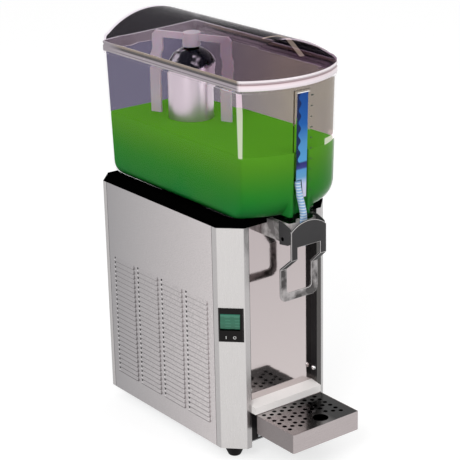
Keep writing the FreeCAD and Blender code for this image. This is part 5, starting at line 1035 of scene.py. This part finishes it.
def arch(inset, count=29):
    """Half outline of the vault from its foot to the crown: upright side, small round, wide arc."""
    side, half = LID_SIDE - inset, LID_ARCH_HALF - inset / 2
    radius, crown = LID_RADIUS - inset, LID_CROWN - inset
    shoulder = crown - sag(radius, half)
    side_top = LID_SHOULDER - inset
    knee = np.linspace(0, 1, 7)[1:-1]
    bend_x = side - (side - half) * (knee**1.9)
    bend_z = side_top + (shoulder - side_top) * (1 - (1 - knee) ** 1.35)
    wide = np.linspace(half, 0, count)
    x = np.concatenate([[side, side, side], bend_x, wide])
    z = np.concatenate([[LID_FOOT, LID_STEP, side_top], bend_z, crown - sag(radius, wide)])
    return x, z


def lid_rows(inset):
    """Grid of the shell's outer (inset 0) or inner face: paths along Y, one for each arch point."""
    x, z = (np.concatenate([sign * half, half[::-1][1:]]) for sign, half in zip((-1, 1), arch(inset)))
    foot = LID_FRONT + inset + sag(arc_radius(LID_FRONT_HALF, LID_FRONT_RISE), x)
    start = LID_SHOULDER - inset
    rise = np.maximum(z - start, 0.0)
    crease = foot + rise * LID_SLOPE
    rear = LID_REAR - inset
    rows = [(foot, np.minimum(z, top)) for top in (LID_FOOT, LID_STEP, start)]
    for share in (0.06, 0.25, 0.5, 0.75, 0.94, 1.0):
        rows.append((foot + (crease - foot) * share, np.minimum(z, start) + rise * share))
    for share in (0.02, 0.2, 0.4, 0.6, 0.8, 1.0):
        rows.append((crease + (rear - crease) * share, z))
    for share in (0.3, 0.65, 1.0):
        rows.append((rear, z + (LID_FOOT - z) * share))
    return np.stack([place(x, back, up) for back, up in rows])


def lid_shell():
    """Outer and inner faces of the lid joined along their lower edge into one closed shell."""
    outer, inner = lid_rows(0.0), lid_rows(2.5)
    quads = grid_faces(*outer.shape[:2], wrap=False)
    number = np.arange(outer[..., 0].size).reshape(outer.shape[:2])
    edge = np.concatenate([number[0], number[1:, -1], number[-1, ::-1][1:], number[::-1][1:, 0]])
    lip = np.stack([edge[:-1], edge[1:], edge[1:] + number.size, edge[:-1] + number.size], axis=-1)
    faces = np.concatenate([quads, quads + number.size, lip])
    picks = np.repeat([OUTSIDE, INSIDE, OUTSIDE], [len(quads), len(quads), len(lip)])
    return np.concatenate([outer.reshape(-1, 3), inner.reshape(-1, 3)]), faces, picks


points, faces, picks = lid_shell()
lid = piece(
    "lid_vault", points, faces, [lid_outside, lid_inside], "lid", "smoke_plastic", picks=picks, bend=30.0
)
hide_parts("lid")

# %% [markdown]
# The skirt is a band round the lid's foot with a groove along it. Its profile is carried round the same
# kind of outline as the bowl's rim.

# %% Lid skirt
SKIRT_OUTLINE = {
    "half": 89.0, "rear": 322.0, "corner": -17.0, "apex": -50.0, "rear_round": 6.0, "front_round": 8.0,
}
SKIRT_PROFILE = [
    (0.6, 552.3), (0.0, 552.9), (0.0, 560.3), (0.4, 560.8), (1.1, 561.0), (1.1, 563.6), (0.4, 563.9),
    (0.0, 564.4), (0.0, 566.2), (0.3, 566.8), (0.9, 567.0), (2.4, 567.0), (2.4, 552.3),
]
outline = reach(bowed_outline(**SKIRT_OUTLINE), ANGLES)
rows = np.stack([ring(outline - inset, up - BOWL_LOW) for inset, up in SKIRT_PROFILE])
ring_piece("lid_skirt", rows, [skirt_finish], "lid", "smoke_plastic")

# %% [markdown]
# ## The tap lever
#
# The lever is one sheet of plastic cut to shape and folded twice: the shield stands in front, two arms
# run back and down, and the U hangs behind. Flat cut outs share their corner points along the folds. A
# Solidify modifier gives the sheet its thickness and a Bevel breaks its edges.

# %% Shield and paddle outlines
SHIELD_HALF, SHIELD_CROWN, SHIELD_SHOULDER, SHIELD_LOW = 32.2, 359.5, 347.5, 305.5
NOTCH_HALF, NOTCH_TOP = 20.8, 322.8
SHEET_FRONT, SHEET_REAR, ARCH_POINTS, TURN_POINTS = -56.5, -34.5, 25, 7


def shield_outline():
    """Corners of the shield in x and height: an arched top, a notch below and a foot on each side."""
    radius = arc_radius(SHIELD_HALF, SHIELD_CROWN - SHIELD_SHOULDER)
    x = np.linspace(-SHIELD_HALF, SHIELD_HALF, ARCH_POINTS)
    arched = np.stack([x, SHIELD_CROWN - sag(radius, x)], axis=1)
    right = np.array([(SHIELD_HALF, SHIELD_LOW), (NOTCH_HALF, SHIELD_LOW), (NOTCH_HALF, NOTCH_TOP)])
    return np.concatenate([arched, right, right[::-1] * (-1, 1)])


def paddle_outline():
    """Corners of the U: two arms and a bar with rounded outer and inner corners."""
    half, arm, low, bar, round_out, round_in, top = 34.6, 11.8, 235.0, 12.0, 11.0, 5.5, 286.0
    turn = np.linspace(0, math.pi / 2, TURN_POINTS)
    inner = half - arm
    out_x = half - round_out + round_out * np.cos(turn)
    in_x = inner - round_in + round_in * np.cos(turn)
    right_out = np.stack([out_x, low + round_out - round_out * np.sin(turn)], axis=1)
    right_in = np.stack([in_x, low + bar + round_in - round_in * np.sin(turn)], axis=1)[::-1]
    left_in, left_out = (right_in * (-1, 1))[::-1], (right_out * (-1, 1))[::-1]
    right_top, left_top = [(inner, top), (half, top)], [(-half, top), (-inner, top)]
    return np.concatenate([right_top, right_out, left_out, left_top, left_in, right_in])


# %% Lever sheet
def lever_sheet():
    """Shield, two arms and U as flat faces that share points along the folds.

    In the shield the arch comes first, then the corners of the right and of the left foot; in the U its
    right top comes first, then the two outer rounds, then its left top.
    """
    shield, paddle = shield_outline(), paddle_outline()
    front = place(shield[:, 0], SHEET_FRONT, shield[:, 1])
    rear = place(paddle[:, 0], SHEET_REAR, paddle[:, 1])
    low_right, low_left, first = ARCH_POINTS, len(shield) - 1, len(shield)
    u_left = first + 2 + 2 * TURN_POINTS
    faces = [
        range(first),
        [low_right, low_right + 1, first, first + 1],
        [low_left - 1, low_left, u_left, u_left + 1],
        range(first, first + len(paddle)),
    ]
    return np.concatenate([front, rear]), faces


def add_modifier(made, kind, **values):
    """Modifier with its settings."""
    modifier = made.modifiers.new(kind.title(), kind)
    for label, value in values.items():
        setattr(modifier, label, value)


def break_edges(made, width, material=-1):
    """Bevel on every edge that turns by more than 40 degrees; -1 keeps the neighbours' material."""
    add_modifier(
        made, "BEVEL", width=width, segments=2, limit_method="ANGLE", angle_limit=math.radians(40),
        material=material,
    )


points, faces = lever_sheet()
sheet_finishes = [shield_finish, paddle_finish, edge_highlight_finish]
lever = piece("lever_sheet", points, faces, sheet_finishes, "lever", "grey_plastic", picks=[0, 0, 0, 1])
add_modifier(lever, "SOLIDIFY", thickness=0.003, offset=0.0, use_even_offset=True)
# The bevels take the light grey finish, a painted highlight.
break_edges(lever, 0.0007, material=sheet_finishes.index(edge_highlight_finish))
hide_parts("tap_lever")

# %% [markdown]
# The cheeks are flat plates beside the housing. The pinch bar behind the shield has a round nose.

# %% Lever cheeks and pinch bar
def prism(name, section, x_low, x_high):
    """Closed prism along X from (back, up) section points: both ends and the strips between."""
    section = np.asarray(section, dtype=float)
    count = len(section)
    ends = [place(x, section[:, 0], section[:, 1]) for x in (x_low, x_high)]
    around = np.arange(count)
    after = (around + 1) % count
    strips = np.stack([around, after, after + count, around + count], axis=-1).tolist()
    faces = strips + [around[::-1], around + count]
    return piece(name, np.concatenate(ends), faces, [shield_finish], "lever", "grey_plastic")


CHEEK = [
    (-55.0, 350.5), (-52.0, 352.6), (-40.0, 356.6), (-29.5, 358.0), (-29.0, 357.0), (-30.0, 336.0),
    (-31.0, 323.8), (-32.0, 323.4), (-49.0, 325.8), (-55.0, 328.8),
]
CHEEK_IN = 30.4
break_edges(prism("left_cheek", CHEEK, -SHIELD_HALF, -CHEEK_IN), 0.0004)
break_edges(prism("right_cheek", CHEEK, CHEEK_IN, SHIELD_HALF), 0.0004)
turn = np.linspace(math.pi / 2, -math.pi / 2, 9)
nose = np.stack([-50.9 + 2.8 * np.cos(turn), 349.0 + 3.0 * np.sin(turn)], axis=1)
prism("pinch_bar", [(-55.0, 352.0), *nose, (-55.0, 346.0)], -17.0, 17.0)

# %% [markdown]
# ## The silicone tube
#
# The tube hangs from the pocket's spigot, swings to the middle and is squeezed flat above the shield's
# edge. Its section is an ellipse carried along a line. Both the line and the ellipse's half axes run
# between a few stations, and each point of the line is then evened with its neighbours. The outer and
# inner walls are one closed surface.

# %% Pinch tube
TUBE_STATIONS = np.array([
    # share of the way, across, back, up, half width, half thickness
    (0.0, -5.2, -38.9, 414.2, 5.0, 5.0), (0.12, -5.2, -38.9, 408.0, 5.0, 5.0),
    (0.3, -4.1, -40.6, 397.0, 5.0, 5.0), (0.5, -1.8, -43.6, 382.0, 5.0, 5.0),
    (0.68, 0.0, -45.8, 366.0, 5.1, 4.9), (0.78, 0.0, -45.8, 356.0, 6.6, 2.0),
    (1.0, 0.0, -45.8, 318.0, 6.6, 2.0),
])


def tube_rows(around=28, along=34):
    """Outer rows down the line and inner rows up again, as closed rings of points."""
    share = np.linspace(0, 1, along)
    stations = [np.interp(share, TUBE_STATIONS[:, 0], column) for column in TUBE_STATIONS.T[1:]]
    centre = np.stack(stations[:3], axis=1)
    smooth = centre.copy()
    smooth[1:-1] = (centre[:-2] + 2 * centre[1:-1] + centre[2:]) / 4
    turn = np.linspace(0, 2 * math.pi, around, endpoint=False)

    def shell(trim_wide, trim_thick):
        wide = (stations[3] - trim_wide)[:, None]
        thick = np.maximum(stations[4] - trim_thick, 0.25)[:, None]
        x = smooth[:, :1] + wide * np.cos(turn)
        return place(x, smooth[:, 1:2] + thick * np.sin(turn), smooth[:, 2:3])

    return np.concatenate([shell(0.0, 0.0), shell(1.9, 1.75)[::-1]])


tube = ring_piece("silicone_tube", tube_rows(), [tube_finish], "bowl", "silicone", bend=60.0)
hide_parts("pinch_tube")

# %% [markdown]
# ## The evaporator
#
# A turned piece is a profile carried round an axis: each row is a circle, its radius and height read from
# the profile. The polished dome needs many rows, because it reflects everything.

# %% Evaporator
CORE, PIVOT, DOME_CROWN, DOME_RISE = 35.4, 2.5, 562.0, 22.0


def evaporator_profile():
    """Flange, straight wall, round dome and pivot; the dome is part of a circle centred on the axis."""
    radius = CORE * np.cos(np.linspace(0.0, math.acos(PIVOT / CORE), 24))
    dome = np.stack([radius, DOME_CROWN - sag(arc_radius(CORE, DOME_RISE), radius)], axis=1)
    foot = [(6.5, 343.9), (50.0, 343.9), (50.0, 345.9), (CORE, 345.9), (CORE, 450.0)]
    return np.concatenate([foot, dome, [(PIVOT, 567.0), (0.001, 567.0)]])


def turned(profile, back, around=96):
    """Rings of points for a profile of (radius, up) rows round a vertical axis."""
    radius, up = profile.T[:, :, None]
    turn = np.linspace(0, 2 * math.pi, around, endpoint=False)
    return place(radius * np.sin(turn), back - radius * np.cos(turn), up)


def capped(rows, columns):
    """Faces of a wrapped grid with its first and last rows closed by one face each."""
    ends = [range(columns)[::-1], range((rows - 1) * columns, rows * columns)]
    return [*grid_faces(rows, columns), *ends]


rows = turned(evaporator_profile(), AXIS_BACK)
faces = capped(*rows.shape[:2])
evaporator = piece(
    "evaporator_skin", rows, faces, [evaporator_finish], "cabinet", "polished_steel", bend=35.0
)
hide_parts("evaporator")

# %% [markdown]
# ## Marks on the bowl and on the switch
#
# Twelve short marks beside the groove tell how full the bowl is, and the switch has the usual line and
# circle for on and off. Each is a thin plate a few tenths of a millimetre proud of its surface.

# %% Level marks
BOX_FACES = np.array([[0, 3, 2, 1], [4, 5, 6, 7], [0, 1, 5, 4], [1, 2, 6, 5], [2, 3, 7, 6], [3, 0, 4, 7]])
MARKS, MARK_TOP, MARK_PITCH, MARK_START = 12, 537.0, 15.4, 12.2


def level_marks():
    """Bars on the bowed front right of the groove, every third one longer; eight corners each."""
    number = np.arange(MARKS)
    up = MARK_TOP - MARK_PITCH * number
    half, _, corner, apex = bowl_walls(up - BOWL_LOW)
    ends = np.stack([0.0 * number, np.where(number % 3 == 0, 4.6, 3.4)]) + MARK_START
    face = apex + sag(arc_radius(half, corner - apex), ends)
    order = [0, 1, 1, 0] * 2
    proud = np.array([0.1, 0.1, -0.15, -0.15] * 2)[:, None]
    lift = np.repeat([-0.8, 0.8], 4)[:, None]
    points = place(ends[order], face[order] + proud, up + lift)
    return points.transpose(1, 0, 2), (BOX_FACES + 8 * number[:, None, None]).reshape(-1, 4)


piece("level_marks", *level_marks(), [tick_finish], "bowl", "black_plastic")


# %% Switch symbols
MARK_OUT, MARK_THICK = 3.3, 0.25


def on_chamfer(across, out, up):
    """Points on the left 45 degree face: across along it from its rear edge, out from it, up."""
    step = math.sqrt(0.5)
    return place(-100.0 + (across - out) * step, 28.5 - (across + out) * step, up)


def flat_bar(left, right, low, high):
    """Thin box on the chamfer: eight corners, the lower layer first."""
    out = np.repeat([MARK_OUT, MARK_OUT + MARK_THICK], 4)
    return on_chamfer(np.array([left, right, right, left] * 2), out, np.array([low, low, high, high] * 2))


def flat_ring(across, up, outer, inner, around=24):
    """Thin ring on the chamfer as a closed profile carried round its centre."""
    turn = np.linspace(0, 2 * math.pi, around, endpoint=False)
    radius = np.array([inner, outer, outer, inner])[:, None]
    lift = MARK_OUT + MARK_THICK * np.array([0, 0, 1, 1])[:, None]
    return on_chamfer(across + radius * np.cos(turn), lift, up + radius * np.sin(turn))


piece("mark_on", flat_bar(11.6, 12.6, 178.6, 183.0), BOX_FACES, [mark_finish], "cabinet", "white_plastic")
ring_piece("mark_off", flat_ring(24.6, 180.8, 2.3, 1.5), [mark_finish], "cabinet", "white_plastic")

# %% [markdown]
# ## Camera, light and floor
#
# The camera stands to the left of the machine and a little above it, far enough away that upright edges
# stay nearly parallel. It leans by about one degree, as the photograph does. Light is plain: a white room
# and two large soft lamps, which give the steel and the plastic something to shine with.

# %% Camera
def aim_camera(spot, yaw, pitch, roll, lens):
    """Camera from its place and three angles in degrees; yaw 0 looks along +Y, pitch looks down."""
    a, e, r = (math.radians(v) for v in (yaw, pitch, roll))
    back = Vector((math.sin(a) * math.cos(e), -math.cos(a) * math.cos(e), math.sin(e)))
    right = (-back).cross(Vector((0, 0, 1))).normalized()
    up = right.cross(-back)
    turned_right = math.cos(r) * right + math.sin(r) * up
    turned_up = -math.sin(r) * right + math.cos(r) * up
    data = bpy.data.cameras.new("camera")
    data.lens = lens
    data.sensor_width = 36.0
    data.sensor_fit = "HORIZONTAL"
    data.clip_end = 100.0
    camera = put("camera", data)
    turn = Matrix((turned_right, turned_up, back)).transposed().to_4x4()
    camera.matrix_world = Matrix.Translation(spot) @ turn
    bpy.context.scene.camera = camera


aim_camera(Vector((-1.35812, -1.78126, 1.11594)), yaw=-37.11, pitch=19.64, roll=-1.23, lens=123.97)
print("camera aimed")

# %% Room
def seen_or_mirrored(kit):
    """1 for a ray from the camera, from a mirror or through glass."""
    return kit.ray("Camera") | kit.ray("Glossy") | kit.ray("Transmission")


def white_room(unseen=0.62):
    """World: white where it is seen, reflected or looked through, softer where it lights."""
    world = bpy.data.worlds.new("white room")
    bpy.context.scene.world = world
    world.use_nodes = True
    kit = Kit(world.node_tree)
    strength = seen_or_mirrored(kit).spread(0.0, 1.0, unseen, 1.0)
    kit.give(world.node_tree.nodes["Background"], {"Color": WHITE, "Strength": strength})


white_room()
print("room is white")


# %% Lamps
def soft_lamp(name, spot, size, power, target=(0, 0, 0.35)):
    """Large square lamp that faces a target."""
    data = bpy.data.lights.new(name, "AREA")
    data.shape = "SQUARE"
    data.size = size
    data.energy = power
    aim = (Vector(target) - Vector(spot)).to_track_quat("-Z", "Y")
    put(name, data).matrix_world = Matrix.Translation(spot) @ aim.to_matrix().to_4x4()


soft_lamp("lamp_left", (-2.6, -1.6, 2.4), size=1.6, power=45.0)
soft_lamp("lamp_front", (1.2, -3.0, 1.6), size=1.4, power=22.0)
print("two lamps hung")


# %% Floor
def white_floor(half=12, own_light=0.66):
    """Floor that is part its own light where it is seen, so it stays white and keeps a soft shadow."""
    pale = Finish("floor white", Roughness=0.9, Base_Color=(0.5, 0.5, 0.5, 1.0), Specular_IOR_Level=0.0)
    pale.set(Emission_Color=WHITE, Emission_Strength=seen_or_mirrored(pale) * own_light)
    mesh = bpy.data.meshes.new("floor")
    corners = [(-half, -half, 0), (half, -half, 0), (half, half, 0), (-half, half, 0)]
    mesh.from_pydata(corners, [], [(0, 1, 2, 3)])
    mesh.materials.append(pale.material)
    put("floor", mesh)


white_floor()
print("floor laid")

# %% Colours as written, finish
bpy.context.scene.view_settings.view_transform = "Standard"
bpy.context.view_layer.update()
